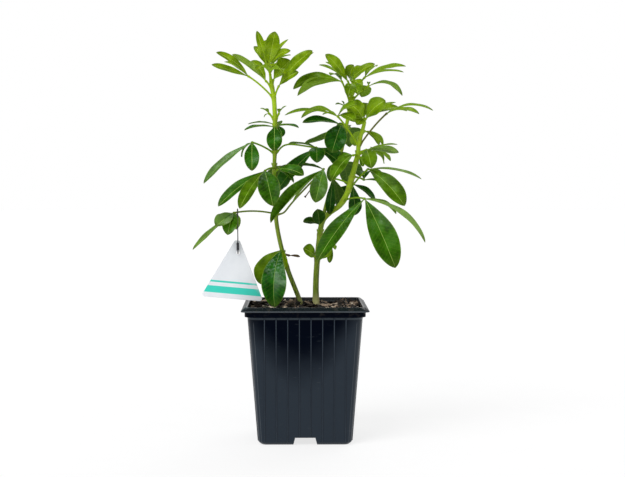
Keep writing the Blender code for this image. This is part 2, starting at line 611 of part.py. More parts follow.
def petiole(stem, height, hub, route=()):
    """A leaf's stalk from just off the stem to the hub, a little swollen at both ends."""
    hub = np.array(hub, float)
    axis, radii = STEMS[stem]
    if height is None:
        away = unit(np.subtract(axis[-1], axis[-2]))
        start = np.array(axis[-1], float) + away * STALK_START
        bow = start + (0, 0, np.linalg.norm(hub - start) * TIP_BOW)
        first = radii[-1][1] * TIP_SHARE
    else:
        middle, along, radius = stem_point(stem, height)
        away = hub - middle
        away = unit(away - along * (away @ along))
        start = middle + away * (radius * (1 + SWELLING) + STALK_START)
        bow = (start + hub) / 2 + (0, 0, np.linalg.norm(hub - start) * STALK_BOW)
        first = PETIOLE_RADIUS * FOOT_FLARE
    count = max(2, round(float(np.linalg.norm(hub - start)) / PETIOLE_STEP))
    path = bow_curve(start, bow, hub, np.linspace(0, 1, count + 1))
    if route:
        path = curve([start, *route, hub], PETIOLE_STEP)
    ahead = unit(path[-1] - path[-2])
    path = np.vstack([path[:-1], path[-1] - ahead * HUB_REACH, path[-1] + ahead * HUB_REACH])
    radii_along = [first] + [PETIOLE_RADIUS] * (len(path) - 3) + [HUB_RADIUS, HUB_RADIUS]
    return tube(path, radii_along, PETIOLE_SIDES, first_normal=away)


def leaf_colour(height):
    """Old leaves are deep green and those near the top are yellow green."""
    young = min(1.0, max(0.0, (height - OLD_HEIGHT) / (NEW_HEIGHT - OLD_HEIGHT)))
    return tuple(OLD_GREEN + (NEW_GREEN - OLD_GREEN) * young)


def make_leaves():
    fronds = {}
    for name, stem, height, hub, leaflets, *route in LEAVES:
        shapes = fronds.setdefault(name, ([], hub[2]))[0]
        shapes.append(petiole(stem, height, hub, *route))
        shapes.extend(blade(hub, leaflet) for leaflet in leaflets)
    for name, (shapes, height) in fronds.items():
        smooth(joined(name, shapes, finish(name + "_green", leaf_colour(height), 0.35)))


# Tag and wire


def rounded_outline(corners, radius, steps=4):
    """Points round a polygon whose corners are arcs."""
    corners = np.asarray(corners, float)
    points = []
    for before, corner, after in zip(np.roll(corners, 1, 0), corners, np.roll(corners, -1, 0)):
        back, ahead = unit(before - corner), unit(after - corner)
        half = math.acos(float(back @ ahead)) / 2
        shorter = min(np.linalg.norm(before - corner), np.linalg.norm(after - corner))
        radius_here = min(radius, 0.45 * math.tan(half) * shorter)
        centre = corner + unit(back + ahead) * radius_here / math.sin(half)
        first = corner + back * radius_here / math.tan(half) - centre
        last = corner + ahead * radius_here / math.tan(half) - centre
        start = math.atan2(first[1], first[0])
        sweep = (math.atan2(last[1], last[0]) - start + math.pi) % (2 * math.pi) - math.pi
        for step in range(steps + 1):
            angle = start + sweep * step / steps
            points.append(centre + radius_here * np.array([math.cos(angle), math.sin(angle)]))
    return np.array(points)


def tag_shape():
    outline = rounded_outline(TAG_CORNERS, TAG_CORNER)
    rings = [np.column_stack([outline[:, 0], np.full(len(outline), y), outline[:, 1]])
             for y in (TAG_Y + TAG_THICKNESS / 2, TAG_Y - TAG_THICKNESS / 2)]
    return loft(rings)


def make_tag():
    tag = mesh_object("tag", tag_shape(), finish("tag_plastic", (0.86, 0.88, 0.88), 0.4))
    x, z = TAG_HOLE
    hole = tube([(x, TAG_Y - 2, z), (x, TAG_Y + 2, z)], [TAG_HOLE_RADIUS] * 2, 12)
    boolean(tag, "DIFFERENCE", [hole])


def wire_path():
    """A hook through the tag's hole, a twist, up and over the leaf stalk, and down again into the twist."""
    x, z = TAG_HOLE
    front = TAG_Y - 2.7
    back = TAG_Y + 1.9
    hook = [(x, back, z + 3), (x, back, z + 0.6), (x, back - 0.7, z - 0.5),
            (x, front + 0.7, z - 0.5), (x, front, z + 0.6)]
    low, high = z + 2.2, z + 8.2
    steps = int(TWIST_TURNS * 6)
    rise = np.arange(steps + 1) / steps
    turn = 2 * math.pi * TWIST_TURNS * rise
    strand = np.column_stack([x + TWIST_RADIUS * np.sin(turn), front - TWIST_RADIUS * np.cos(turn),
                              low + (high - low) * rise])
    other = strand.copy()
    other[:, 0] = 2 * x - strand[:, 0]
    other[:, 1] = 2 * front - strand[:, 1]
    across = WIRE_HOOK_RADIUS * unit(WIRE_ACROSS)
    up = np.array([0.0, 0.0, WIRE_HOOK_RADIUS])
    bend = [WIRE_OVER + math.cos(angle) * across + math.sin(angle) * up
            for angle in np.linspace(0, math.pi, 6)]
    bend = [bend[0] - 2 * up, *bend, bend[-1] - 2 * up]
    path = hook + list(strand) + [(x, front - 0.6, high + 3)] + bend + [(x, front + 0.7, high + 5)]
    return np.array(path + list(other[::-1]))


def wire_shape():
    path = wire_path()
    return tube(path, [WIRE_RADIUS] * len(path), WIRE_SIDES)


def make_wire():
    metal = finish("dark_wire", (0.03, 0.03, 0.03), 0.4, 1.0)
    smooth(mesh_object("tag_wire", wire_shape(), metal), 60)


def main():
    clear_scene()
    make_pot()
    make_soil()
    make_stems()
    make_leaves()
    make_tag()
    make_wire()


main()
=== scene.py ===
"""Looks of the potted mexican orange: leafy stems in a square ribbed nursery pot, with a tag on a wire.

Shapes are worked out in millimetres in the CAD's frame, with +X right, +Y back, +Z up and the origin in the
middle of the pot's underside. They become metres when a mesh is made.
"""

import math

import bpy
import numpy as np
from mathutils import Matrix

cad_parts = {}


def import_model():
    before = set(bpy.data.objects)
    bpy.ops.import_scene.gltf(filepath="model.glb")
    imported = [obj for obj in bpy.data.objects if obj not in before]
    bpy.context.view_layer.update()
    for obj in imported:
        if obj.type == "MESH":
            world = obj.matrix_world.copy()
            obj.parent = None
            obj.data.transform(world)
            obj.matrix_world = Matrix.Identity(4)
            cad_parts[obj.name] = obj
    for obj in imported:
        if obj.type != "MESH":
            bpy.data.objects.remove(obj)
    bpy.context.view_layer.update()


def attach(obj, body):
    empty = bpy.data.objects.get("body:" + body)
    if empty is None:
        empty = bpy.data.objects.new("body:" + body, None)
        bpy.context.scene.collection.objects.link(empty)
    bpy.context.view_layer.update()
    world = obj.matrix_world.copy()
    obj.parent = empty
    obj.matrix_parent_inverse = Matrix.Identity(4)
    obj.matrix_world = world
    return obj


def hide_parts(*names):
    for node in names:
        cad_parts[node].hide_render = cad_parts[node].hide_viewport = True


MM = 0.001
UP = (0.0, 0.0, 1.0)
BACK = (0.0, 1.0, 0.0)
RIGHT = (1.0, 0.0, 0.0)

# Camera, fitted to the pot's corners in the photograph. It sees from near to far, in metres.
EYE = (-5.5, -1061.0, 207.4)
YAW_DEGREES = 0.63
PITCH_DEGREES = 2.46
LENS = 75.3
SENSOR_WIDTH = 36.0
SEES_FROM = 0.01
SEES_TO = 60.0

# Light: lamps as name, azimuth, elevation, spread and strength, and the brightness of the room
LAMPS = [("key", -38.0, 46.0, 35.0, 1.9), ("fill", 25.0, 22.0, 60.0, 0.35), ("back", 160.0, 50.0, 40.0, 0.7)]
WALL_LIGHT = 1.0
CEILING_LIGHT = 0.35

# Floor: how much it glows, its radius in metres, and its sides
FLOOR_GLOW = 0.75
FLOOR_RADIUS = 9.0
FLOOR_SIDES = 96

# Edges sharper than this stay sharp, in degrees
SHARP = 48
POT_SHARP = 34
TAG_SHARP = 30

# Pot: half widths of its square rings, heights and corner radii
POT_HEIGHT = 110.0
RIM_HALF = 50.3
CREST_HALF = 46.5
THROAT_HALF = 45.4
COLLAR_HALF = 47.5
COLLAR_BOTTOM = 101.8
FLANGE_BOTTOM = 106.3
FLANGE_TOP = 107.3
BODY_TOP_HALF = 45.2
BODY_BOTTOM_HALF = 36.9
CORNER_RADIUS = 9.0
FOOT_RADIUS = 5.5
COLLAR_RADIUS = 7.5
RIM_RADIUS = 4.5
CORNER_STEPS = 9
WALL = 1.3
FLOOR_TOP = 8.0
FOOT_GAP = 18.0
FOOT_HEIGHT = 6.0
BOSS_RADIUS = 7.0
DRAIN_RADIUS = 4.0
DRAIN_REACH = 19.0
DRAIN_SIDES = 28

# Pot's ribs, with the section of one: shares of its half width, places outwards, and its painted highlight
# there
RIB_COUNT = 8
RIB_PITCH = 9.1
RIB_WIDTH = 1.0
RIB_PROUD = 0.45
RIB_SUNK = 0.9
RIB_BOTTOM = 2.6
RIB_ACROSS = np.array([-1, 1, 1, 0.7, 0, -0.7, -1])
RIB_OUT = np.array([-RIB_SUNK, -RIB_SUNK, 0.1, RIB_PROUD * 0.85, RIB_PROUD, RIB_PROUD * 0.85, 0.1])
RIB_CREST = np.array([0, 0, 0, 0.2, 1.0, 0.2, 0])

# Soil: level, relief, and the noise that makes it as (share, cell)
SOIL_LEVEL = 104.9
SOIL_RELIEF = 1.2
SOIL_NOISE = ((1.6, 14.0), (1.0, 5.0), (0.6, 2.0))
SOIL_GAP = 0.3
SOIL_RINGS = 44
SOIL_SIDE_PARTS = 12
SOIL_SEED = 11

# Bark chips: width, thickness and jitter are shares of the length, and tilts are in radians
CHIP_COUNT = 780
CHIP_LENGTH = (2.4, 11.5)
CHIP_WIDTH = (0.24, 0.5)
CHIP_THICKNESS = (0.10, 0.28)
CHIP_THICKNESS_LIMITS = (0.35, 1.6)
CHIP_JITTER = 0.06
CHIP_PITCH = 0.32
CHIP_ROLL = 0.35
CHIP_PILE = 1.5
CHIP_SIDES = 6
CHIP_REACH = 43.0
BARE_REACH = 6.0

# Stems
STEM_SIDES = 20
STEM_STEP = 1.6
STEM_RIDGES = 0.035
SWELLING = 0.16
SWELLING_LENGTH = 2.2
SCAR_LENGTH = 0.9
# The turn about each stem of the side that painted shade darkens, in degrees
SHADY_TURN = 175.0
OLDEST = 0.1
YOUNG_FROM_TIP = 20.0
WOOD_TOP = 118.0
WOOD_FADE = 11.0
WOOD = {"left": 0.5, "right": 0.9, "branch": 0.5}
# Near their tips the stems turn a fresh yellow green and glow weakly with painted light: where that starts,
# how far it fades in, and how strong it is
FRESH_FROM = {"left": 248.0, "right": 174.0, "branch": 236.0}
FRESH_FADE = 22.0
FRESH = {"left": 0.85, "right": 0.55, "branch": 0.85}

# Buds in the leaves' angles: the heights on each stem, and the turns about it in degrees
BUDS = {
    "left": ((148, 182, 219, 231, 251), (20, 200)),
    "right": ((146, 165, 208, 229), (0, 180)),
    "branch": ((250, 274), (0, 180)),
}
BUD_LENGTH = 3.4
BUD_RADIUS = 0.85
BUD_RISE = 1.4
BUD_LEAN = 0.45
BUD_SIDES = 8

# Leaflets: the grid, the section and its chance spreads, with angles in degrees
LEAF_ROWS = 26
LEAF_COLUMNS = 15
LEAF_THICKNESS = 0.34
LEAF_SEED = 4
EDGE_THINNER = 0.55
FOLD_DEGREES = 16.0
FOLD_SPREAD = (-3, 5)
TWIST_SPREAD = (-10, 10)
BLADE_BASE = 1.25
BLADE_TIP = 0.7
LEAST_HALF = 0.42
RIPPLE = 0.08
RIPPLE_WAVES = (1.4, 2.6)
MIDRIB_PROUD = 0.42
MIDRIB_HALF = 0.55

# Leaf stalks
PETIOLE_RADIUS = 0.72
PETIOLE_SIDES = 10
PETIOLE_STEP = 1.8
FOOT_FLARE = 1.9
FOOT_LENGTH = 2.4
HUB_RADIUS = 1.15
HUB_LENGTH = 1.9
HUB_REACH = 0.9
STALK_BOW = 0.1
TIP_BOW = 0.4
TIP_SHARE = 0.8

# Tag: its corners as x and z, and its two printed bands as lower and upper edges on a slope
TAG_CORNERS = [(-56.2, 161), (-83.5, 116.4), (-33.4, 111.9), (-52.2, 161)]
TAG_Y = -16.0
TAG_HOLE = (-53.6, 151.0)
TAG_THICKNESS = 1.0
TAG_CORNER = 2.0
TAG_HOLE_RADIUS = 1.3
TAG_HOLE_SIDES = 32
TAG_BANDS = [(118.0, 123.5), (126.5, 128.0)]
BAND_SLOPE = 0.09
BAND_LEVEL_X = -58.5
BAND_EDGE = 0.25

# Tag's wire: how far it hooks to the front and the back of the tag, where its twist starts and ends above
# the hole, and the loop over the leaf stalk
WIRE_RADIUS = 0.4
WIRE_SIDES = 10
WIRE_STEP = 0.5
WIRE_FRONT = 2.7
WIRE_BACK = 1.9
TWIST_RADIUS = 0.75
TWIST_TURNS = 3
TWIST_FROM = 2.2
TWIST_TO = 8.2
TWIST_STEPS = 10
WIRE_OVER = (-54.1, -12.6, 184.2)
WIRE_HOOK_RADIUS = 1.9
WIRE_ACROSS = (0.15, -0.99, 0.0)

# Stem axes from the soil up, and the thickness along them as (height, radius)
LEFT_AXIS = [(-3, 10, 108), (-8.2, 7, 121), (-14.6, 5, 138), (-19.9, 3, 157.5), (-23.1, 2, 175),
             (-24.4, 1, 193), (-24.8, 0, 217), (-24.4, 0, 231.5), (-24.1, 0, 252.5), (-24.9, 0, 273.5),
             (-26.9, 0, 286), (-28.6, 0, 298)]
LEFT_RADII = [(95, 1.7), (108, 1.7), (116, 1.9), (140, 1.8), (215, 1.5), (270, 1.8), (284, 1.7),
              (291, 1.1), (298, 0.9)]
RIGHT_AXIS = [(9.1, 12, 108), (9.1, 11, 124.5), (10, 9, 142), (11.7, 8, 160), (14.2, 7, 175),
              (20, 3, 182.5), (28.5, -2, 189), (34, -4, 198), (36, -5, 204), (39.4, -6, 217),
              (42.6, -7, 230), (43.1, -7, 236), (44.5, -8, 243.5), (46.5, -8, 250), (48, -8, 256)]
RIGHT_RADII = [(95, 3.0), (108, 2.9), (118, 2.4), (150, 2.2), (200, 2.1), (222, 2.0), (232, 1.65),
               (250, 1.55), (256, 1.4)]
BRANCH_AXIS = [(13.5, 7.6, 171), (15.5, 11, 181), (18.7, 16, 193), (24.6, 20, 212), (30.4, 20, 233.5),
               (34.8, 18, 256.5), (37.9, 16, 274), (39.5, 15, 286)]
BRANCH_RADII = [(171, 1.2), (185, 1.5), (230, 1.4), (275, 1.5), (286, 1.2)]
STEMS = {
    "left": (LEFT_AXIS, LEFT_RADII),
    "right": (RIGHT_AXIS, RIGHT_RADII),
    "branch": (BRANCH_AXIS, BRANCH_RADII),
}

# How young the leaves of each pair look, from 0 for deep green to 1 for yellow green
LEAF_AGE = {
    "left_leaf_0": 0.05, "left_twig_0": 0.1, "left_leaf_1": 0.15, "left_leaf_2": 0.1, "left_leaf_3": 0.05,
    "left_leaf_4": 0.05, "left_shoot_4": 0.45, "left_leaf_5": 0.78, "left_leaf_6": 0.85, "left_tip": 0.92,
    "right_leaf_0": 0.5, "right_leaf_1": 0.12, "right_leaf_2": 0.05, "right_leaf_3": 0.45,
    "right_twig_3": 0.3, "right_leaf_4": 0.6, "right_tip": 0.72,
    "branch_leaf_1": 0.0, "branch_leaf_2": 0.02, "branch_leaf_3": 0.5, "branch_twig_3": 0.2,
    "branch_leaf_4": 0.72, "branch_tip": 0.8,
}

# Looks that leaflets share: their sheen, which is a glossier coat and a pale painted reflection, how brown
# they are, how much painted shade darkens them, how much a painted sky reflection pales them, how far they
# bow sideways in millimetres, and how much further they fold shut in degrees
COMMON_LOOKS = {"sheen": 0.1, "brown": 0.0, "deep": 0.0, "pale": 0.0, "bow": 0.0, "shut": 0.0}

# Looks that differ, for a whole leaf, or for one leaflet by its leaf and its place in the leaf's row
OWN_LOOKS = {
    "left_twig_0": {"brown": 1.0},
    "left_leaf_2_back": {"deep": 1.0},
    "left_leaf_3_east": {"deep": 0.5},
    "right_leaf_1_west": {"deep": 1.0},
    "right_leaf_2_west": {"deep": 1.0},
    "right_leaf_2_back": {"deep": 0.8},
    "branch_leaf_1_back": {"deep": 0.7},
    "branch_leaf_2_back": {"deep": 0.5},
    "branch_leaf_2_west": {"deep": 0.3},
    ("left_leaf_0_front", 0): {"age": 0.0, "sheen": 1.0, "bow": 3.1},
    ("left_leaf_0_front", 1): {"age": 0.55, "bow": 2.0},
    ("left_leaf_1_west", 0): {"age": 0.3, "pale": 0.4},
    ("left_leaf_1_west", 1): {"age": 0.2, "pale": 0.45},
    ("left_leaf_1_east", 0): {"shut": 38.0},
    ("left_leaf_1_east", 1): {"sheen": 0.8, "pale": 0.1},
    ("left_leaf_1_east", 2): {"age": 0.0, "deep": 1.0},
    ("left_leaf_2_front", 1): {"age": 0.35},
    ("left_leaf_2_front", 2): {"sheen": 0.5},
    ("left_leaf_3_west", 0): {"sheen": 0.5, "pale": 0.4},
    ("left_leaf_6_west", 0): {"pale": 0.35},
    ("right_leaf_1_front", 0): {"sheen": 0.15},
    ("right_leaf_1_front", 1): {"sheen": 0.4},
    ("right_leaf_1_front", 2): {"age": 0.35, "pale": 0.8},
    ("right_leaf_2_east", 0): {"age": 0.35, "pale": 0.45},
    ("right_leaf_2_east", 1): {"age": 0.3},
    ("right_leaf_3_west", 0): {"age": 0.3},
    ("right_leaf_3_west", 1): {"age": 0.25},
    ("right_leaf_3_east", 0): {"pale": 0.6},
    ("right_leaf_3_east", 1): {"pale": 0.4},
    ("right_leaf_4_west", 1): {"pale": 0.3},
    ("right_leaf_4_east", 0): {"pale": 0.4},
    ("branch_leaf_2_west", 0): {"sheen": 0.4},
    ("branch_leaf_3_west", 0): {"sheen": 0.9, "pale": 0.45},
    ("branch_leaf_3_east", 0): {"pale": 0.4},
    ("branch_leaf_4_east", 0): {"pale": 0.6},
    ("branch_leaf_4_east", 1): {"pale": 0.5},
}

# How brown the stalks of some leaves have turned
BROWN_STALKS = {
    "right_leaf_4_east": 0.75, "left_twig_0": 1.0, "left_leaf_1_west": 0.35, "left_leaf_1_east": 0.45}

# A dried stalk that lost its leaf, from a hub down to a knob
DRY_STALK_LEAF = "left_leaf_1_east"
DRY_STALK = [(15, -13, 217), (10.5, -12, 208), (6.2, -12, 203.2), (3.6, -12, 200.4), (1.6, -12.4, 197.6),
             (-0.2, -12.6, 195.4)]
DRY_STALK_RADIUS = 0.42
DRY_KNOB_RADIUS = 0.8

# A small leaflet that lies over the left stem: its leaf, its hub, its tip and shape as in the next table,
# and its age
SMALL_LEAFLET_LEAF = "left_leaf_0_front"
SMALL_LEAFLET = ((-19.4, -4, 155.5), (-15.4, -7, 137.6, 5.6, 0.6, 80))
SMALL_LEAFLET_AGE = 0.8

# Each leaf: name, with its stem as the first word, height on the stem (None at its tip), hub where the
# leaflets meet, and the leaflets, each as the tip's x, y and z, the width, how far the blade arches, and how
# far its upper side turns to the front in degrees. A last list, where there is one, holds points that the
# stalk passes.
LEAVES = [
    ("left_leaf_0_front", 139, (-19, -6, 153), [
        (-24, -34, 109, 20, 4, 75), (-36, -4, 125, 16, 4, 50), (-30, 18, 120, 11, 3, 0)]),
    ("left_twig_0", 148, (-13, 8, 147.6), [(-4, 12, 146.4, 2.2, 1, 70)]),
    ("left_leaf_1_west", 182, (-57, -14, 183), [
        (-89, -26, 154, 7, 1, 15), (-70, -36, 173, 12, 1, 60), (-61, -32, 166, 12, 3, 60),
        (-56, 2, 169, 8, 3, 20)]),
    ("left_leaf_1_east", 181, (15, -14, 218), [
        (-27, -36, 175.5, 12.5, 3, 30), (8, -32, 191.5, 14, 3, 70), (-2.5, -6, 221, 8, 1, -10),
        (-10.5, -22, 190.5, 7, 2, -10)],
        [(-17, -3, 183), (-12, -5, 189), (-5, -8, 197)]),
    ("left_leaf_2_front", 219, (-32, -16, 216.5), [
        (-68.5, -30, 188.5, 10.8, 3, 35), (-51, -44, 187, 11.5, 3.5, 35), (-25, -46, 189, 17.5, 5, 75)]),
    ("left_leaf_2_east", 214, (-22, -9, 217.5), [
        (-1, -20, 213, 11, 3, 45), (-9, -6, 207, 6, 2, 30)]),
    ("left_leaf_2_back", 219, (-21, 14, 220), [
        (-30, 44, 200, 14, 4, -40), (-17, 46, 203, 14, 4, -40), (-10, 34, 212, 12, 4, -20)]),
    ("left_leaf_3_west", 231, (-42.5, -8, 239.5), [
        (-81, -14, 206.5, 9, 3.5, 32), (-42, -24, 216.5, 12, 3, 80), (-51, 4, 228, 6, 2.5, 40)]),
    ("left_leaf_3_east", 231, (9.5, 2, 235.5), [
        (-23, 16, 200, 15.5, 3, 50), (9.5, -14, 223, 13, 3, 70), (32.5, 6, 218.5, 14, 3, 50),
        (-13.5, 28, 239, 7, 2, -10)],
        [(-14, 0, 238)]),
    ("left_leaf_4_front", 251, (-24.5, -5, 252), [
        (-24.5, -16, 232.5, 12.6, 3, 80), (-48.5, -12, 249, 7, 2, 5), (-5, -12, 251, 7, 2, 5)]),
    ("left_leaf_4_back", 252, (-23, 6, 254), [
        (-46.5, 12, 255, 6, 2, 0), (-18.5, 10, 244.5, 7, 2, 50), (-22, 32, 254, 8, 3, 0)]),
    ("left_shoot_4_west", 258, (-29, -1, 263), [
        (-36, -3, 267, 2.4, 1, 20), (-32, 2, 267, 2.6, 1, 20), (-33, 1, 260, 1.5, 1, 0)]),
    ("left_shoot_4_east", 258, (-21, 0, 263), [(-15, -2, 269, 2.2, 1, 20), (-21, 3, 267, 3, 1, 60)]),
    ("left_leaf_5_west", 276, (-45.5, -6, 292.5), [
        (-70.5, -17, 310.5, 7.6, 3.5, 50), (-75, -4, 302, 7, 0.3, 50), (-65.5, 10, 305.5, 7, 2, 20)]),
    ("left_leaf_5_east", 276, (-21, -7, 284.5), [
        (6, -12, 312.5, 10.5, 4, 50), (7, 3, 312.5, 7, 3, 25), (-5, -16, 295, 9, 2.5, 55)]),
    ("left_leaf_6_west", 284, (-31.5, -3, 289), [
        (-58.5, -1, 310.5, 7, 2, 40), (-43.5, 7, 306, 8, 3, 30), (-42.5, 18, 300.5, 8, 3, 0)]),
    ("left_leaf_6_east", 284, (-25.5, 4, 290.5), [
        (-11.5, 9, 306.5, 14, 2.5, 62), (-11.5, 24, 296, 9, 3, 20)]),
    ("left_leaf_6_front", 288, (-28.5, -10.5, 296), [
        (-37.5, -20, 296, 9.5, 4, -15), (-16.5, -20, 292, 9.5, 4, -15), (-26.5, -32, 297, 10, 4, -5)]),
    ("left_leaf_6_back", 289, (-28, 9, 295), [
        (-37, 34, 303, 9, 4, 0), (-25, 38, 305, 9, 4, 0)]),
    ("left_tip", None, (-30.5, -2, 300.5), [
        (-38.5, -8, 328.5, 6.2, 1, 65), (-41, 4, 317.5, 7, 2, 40), (-31.5, 8, 323, 8, 1.5, 20)]),
    ("left_tip", None, (-27.5, 0, 301.5), [
        (-13.5, 8, 323.5, 4.5, 2.5, 15), (-11.5, -6, 313, 7.5, 4.5, 50), (-11.5, 10, 311, 6, 2, 0)]),
    ("left_tip", None, (-29, -3, 301), [
        (-24, -9, 328, 11.5, 0.5, 85), (-26, 6, 315.5, 6, 1, 0)]),
    ("right_leaf_0_west", 145, (7.5, 3, 147), [
        (-1.5, -5, 154, 11.5, 2, 60), (3, 12, 150, 7, 2, 20)]),
    ("right_leaf_0_east", 147, (22, 4, 155), [
        (20, 0, 142, 5, 3, 40), (12.5, -6, 146, 10, 2, 60), (25, 14, 152, 4, 2, 0)]),
    ("right_leaf_1_west", 165, (12, -2, 173), [
        (-1.5, -6, 175.5, 8, 2, 40), (10, -10, 186, 11, 1, 70)]),
    ("right_leaf_1_front", 193, (47, -30, 194.5), [
        (69.5, -56, 141.5, 21, 5, 70), (9, -62, 147, 15.5, 4, 28), (93.5, -44, 160.5, 10, 8, 15),
        (73, -14, 182, 7, 4, 0)]),
    ("right_leaf_2_east", 202, (50.5, -14, 218), [
        (92.5, -22, 210, 8, 3.5, 12), (78, -38, 189, 16, 4.5, 50), (63, 6, 208.5, 8, 3, 0)]),
    ("right_leaf_2_west", 206, (22.5, -6, 210.5), [
        (20, 0, 181.5, 8, 2, 50), (29, 10, 187, 9, 3, 10)]),
    ("right_leaf_2_back", 208, (39, 12, 206), [
        (28, 24, 186, 15, 4, 40), (41.5, 26, 180, 11.5, 3, 50), (58, 16, 192.5, 9, 2, 35)]),
    ("right_leaf_2_side", 212, (48, 2, 209.5), [
        (71, -4, 199, 8, 4, 15), (50.5, 18, 216, 9, 2, 0)]),
    ("right_leaf_3_west", 229, (38.5, -13, 229), [
        (21, -30, 209, 11, 5, 40), (26.5, -12, 223, 10, 3, 30)]),
    ("right_leaf_3_east", 231, (49.5, -10, 233.5), [
        (75.5, -8, 231.5, 9, 1.5, 42), (73.5, -20, 237.5, 6, 1.5, 10), (52.5, -26, 218.5, 12.5, 3, 70)]),
    ("right_leaf_3_back", 229, (54, 8, 233), [
        (65, 16, 223, 8, 3, 40), (71, 24, 225, 6, 3, 0), (62, 36, 232, 8, 3, 0)]),
    ("right_twig_3", 224, (44.5, -11, 227.5), [
        (46.5, -15, 220, 4.2, 1, 70)]),
    ("right_leaf_4_west", 237, (26, -16, 260), [
        (-16, -22, 260.5, 9, 4.5, 15), (-3, -8, 259, 9, 7, -25), (40.5, -32, 268.5, 11, 2.5, 45),
        (39, -36, 254.5, 10, 3, 40), (14.5, -4, 262, 6, 2, 20)]),
    ("right_leaf_4_east", 237, (65.5, -12, 262.5), [
        (102, -18, 264.5, 7.5, 5.5, 5), (89.5, -32, 261, 8, 4, 25), (83, 8, 265.5, 7, 2, 0)]),
    ("right_leaf_4_back", 242, (49, 6, 249), [
        (61, 10, 238, 7, 2, 40), (64.5, 22, 238, 6, 4, 10), (42, 28, 237.5, 11, 4, 30)]),
    ("right_tip", None, (49, -10, 258.5), [
        (64, -18, 272.5, 15, 3, 55), (75.5, -4, 268, 9, 3, 35), (74, 6, 272.5, 7, 2, 10)]),
    ("right_tip", None, (46, -12, 258), [
        (34.5, -15, 270, 15, 3.5, 55), (37, -22, 259, 9, 2, 55), (41, -22, 253, 8, 2, 70)]),
    ("right_tip", None, (47.5, -6, 259), [
        (42, 20, 271, 11, 4, 0), (56, 22, 271.5, 11, 4, 0), (51, 32, 270, 10, 4, 0)]),
    ("branch_leaf_1_back", 222, (32, 38, 224), [
        (22, 62, 208, 12, 4, -30), (38, 66, 204, 13, 4, -30), (48, 54, 212, 11, 4, -20)]),
    ("branch_leaf_2_west", 250, (29.5, 2, 254), [
        (21.5, -12, 231, 18, 4, 70), (-2, -4, 255.5, 9.5, 3, 35), (0, 24, 239.5, 8, -3, -25)]),
    ("branch_leaf_2_back", 251, (38, 36, 253), [
        (38.5, 58, 237.5, 11, 3, -30), (46.5, 60, 241, 11, 4, -20), (30, 56, 248.5, 12, 4, -20)]),
    ("branch_leaf_3_west", 272, (30, 2, 289), [
        (-6, -6, 277, 12, 7, -38), (-9.5, 10, 283.5, 12, 8, 45), (21.5, 26, 296, 8, 3, 0)]),
    ("branch_leaf_3_east", 274, (52, 10, 286), [
        (79, 2, 277.5, 9, 6.5, 20), (47, 26, 278, 11, 2, -60), (52.5, 16, 289.5, 3, 1, 20)]),
    ("branch_leaf_3_front", 276, (38, -1, 286.5), [
        (34, -20, 275.5, 9, 3, 70), (42.5, -18, 277, 8.5, 3, 45)]),
    ("branch_twig_3", 267, (32, 12, 270), [(25, 10, 271, 4, 1, 10), (30, 14, 274, 2, 1, 0)]),
    ("branch_leaf_4_west", 281, (35, 6, 289.5), [
        (16.5, -2, 310.5, 10, 2.5, 60), (11.5, 4, 302.5, 7, 2, 10), (17, 16, 306, 6, 2, 10)]),
    ("branch_leaf_4_east", 280, (49, 10, 293), [
        (82, 4, 301.5, 8.5, 3, -20), (81, 14, 297.5, 7, 3, 0), (60, 32, 304, 8, 3, 0)]),
    ("branch_tip", None, (37.5, 11, 291), [
        (39, -13, 301, 10.5, 2, 70), (57, 6, 303.5, 7.5, 2.5, 50), (34.5, 8, 301, 6, 1.5, 50)]),
    ("branch_tip", None, (40.5, 14, 291), [
        (47, 18, 302, 9, 2, 40), (32.5, 30, 300.5, 8, 3, 0), (44.5, 2, 282, 9, 3, 60)]),
    ("branch_tip", None, (40, 17, 292), [
        (37.5, 38, 302.5, 9, 4, 0), (51.5, 38, 304, 9, 4, 0), (45, 46, 298, 9, 4, 0)]),
]


# Shader maths


class Value:
    """An output socket that Python's operators work on."""

    def __init__(self, shading, socket):
        self.shading = shading
        self.socket = socket

    def __add__(self, other):
        return self.shading.maths("ADD", self, other)

    def __sub__(self, other):
        return self.shading.maths("SUBTRACT", self, other)

    def __rsub__(self, other):
        return self.shading.maths("SUBTRACT", other, self)

    def __mul__(self, other):
        return self.shading.maths("MULTIPLY", self, other)

    def __truediv__(self, other):
        return self.shading.maths("DIVIDE", self, other)

    __radd__ = __add__
    __rmul__ = __mul__

    def absolute(self):
        return self.shading.maths("ABSOLUTE", self)

    def sine(self):
        return self.shading.maths("SINE", self)

    def rising(self, low, high):
        """0 up to low, 1 from high on, and smooth between. It falls where low is over high."""
        return self.shading.node(
            "MapRange", "Result", {"interpolation_type": "SMOOTHSTEP"},
            {"Value": self, "From Min": low, "From Max": high})


class Shading:
    """A node tree whose nodes are added through node()."""

    def __init__(self, tree):
        self.tree = tree

    def feed(self, node, inputs):
        for key, value in inputs.items():
            if isinstance(value, Value):
                self.tree.links.new(value.socket, node.inputs[key])
            else:
                node.inputs[key].default_value = value

    def node(self, kind, output, settings, inputs):
        """Adds a shader node of that kind, sets its settings and then its sockets, and gives one output."""
        node = self.tree.nodes.new("ShaderNode" + kind)
        for key, value in settings.items():
            if key == "stops":
                self.set_stops(node.color_ramp, value)
            else:
                setattr(node, key, value)
        self.feed(node, inputs)
        return Value(self, node.outputs[output])

    def set_stops(self, ramp, stops):
        """A colour ramp's stops, as (place, colour)."""
        while len(ramp.elements) < len(stops):
            ramp.elements.new(1.0)
        for element, (place, colour) in zip(ramp.elements, stops):
            element.position = place
            element.color = colour

    def maths(self, operation, *values):
        return self.node("Math", 0, {"operation": operation}, dict(enumerate(values)))

    def part(self, axis, vector):
        """One of a vector's parts, X, Y or Z."""
        return self.node("SeparateXYZ", axis, {}, {"Vector": vector})


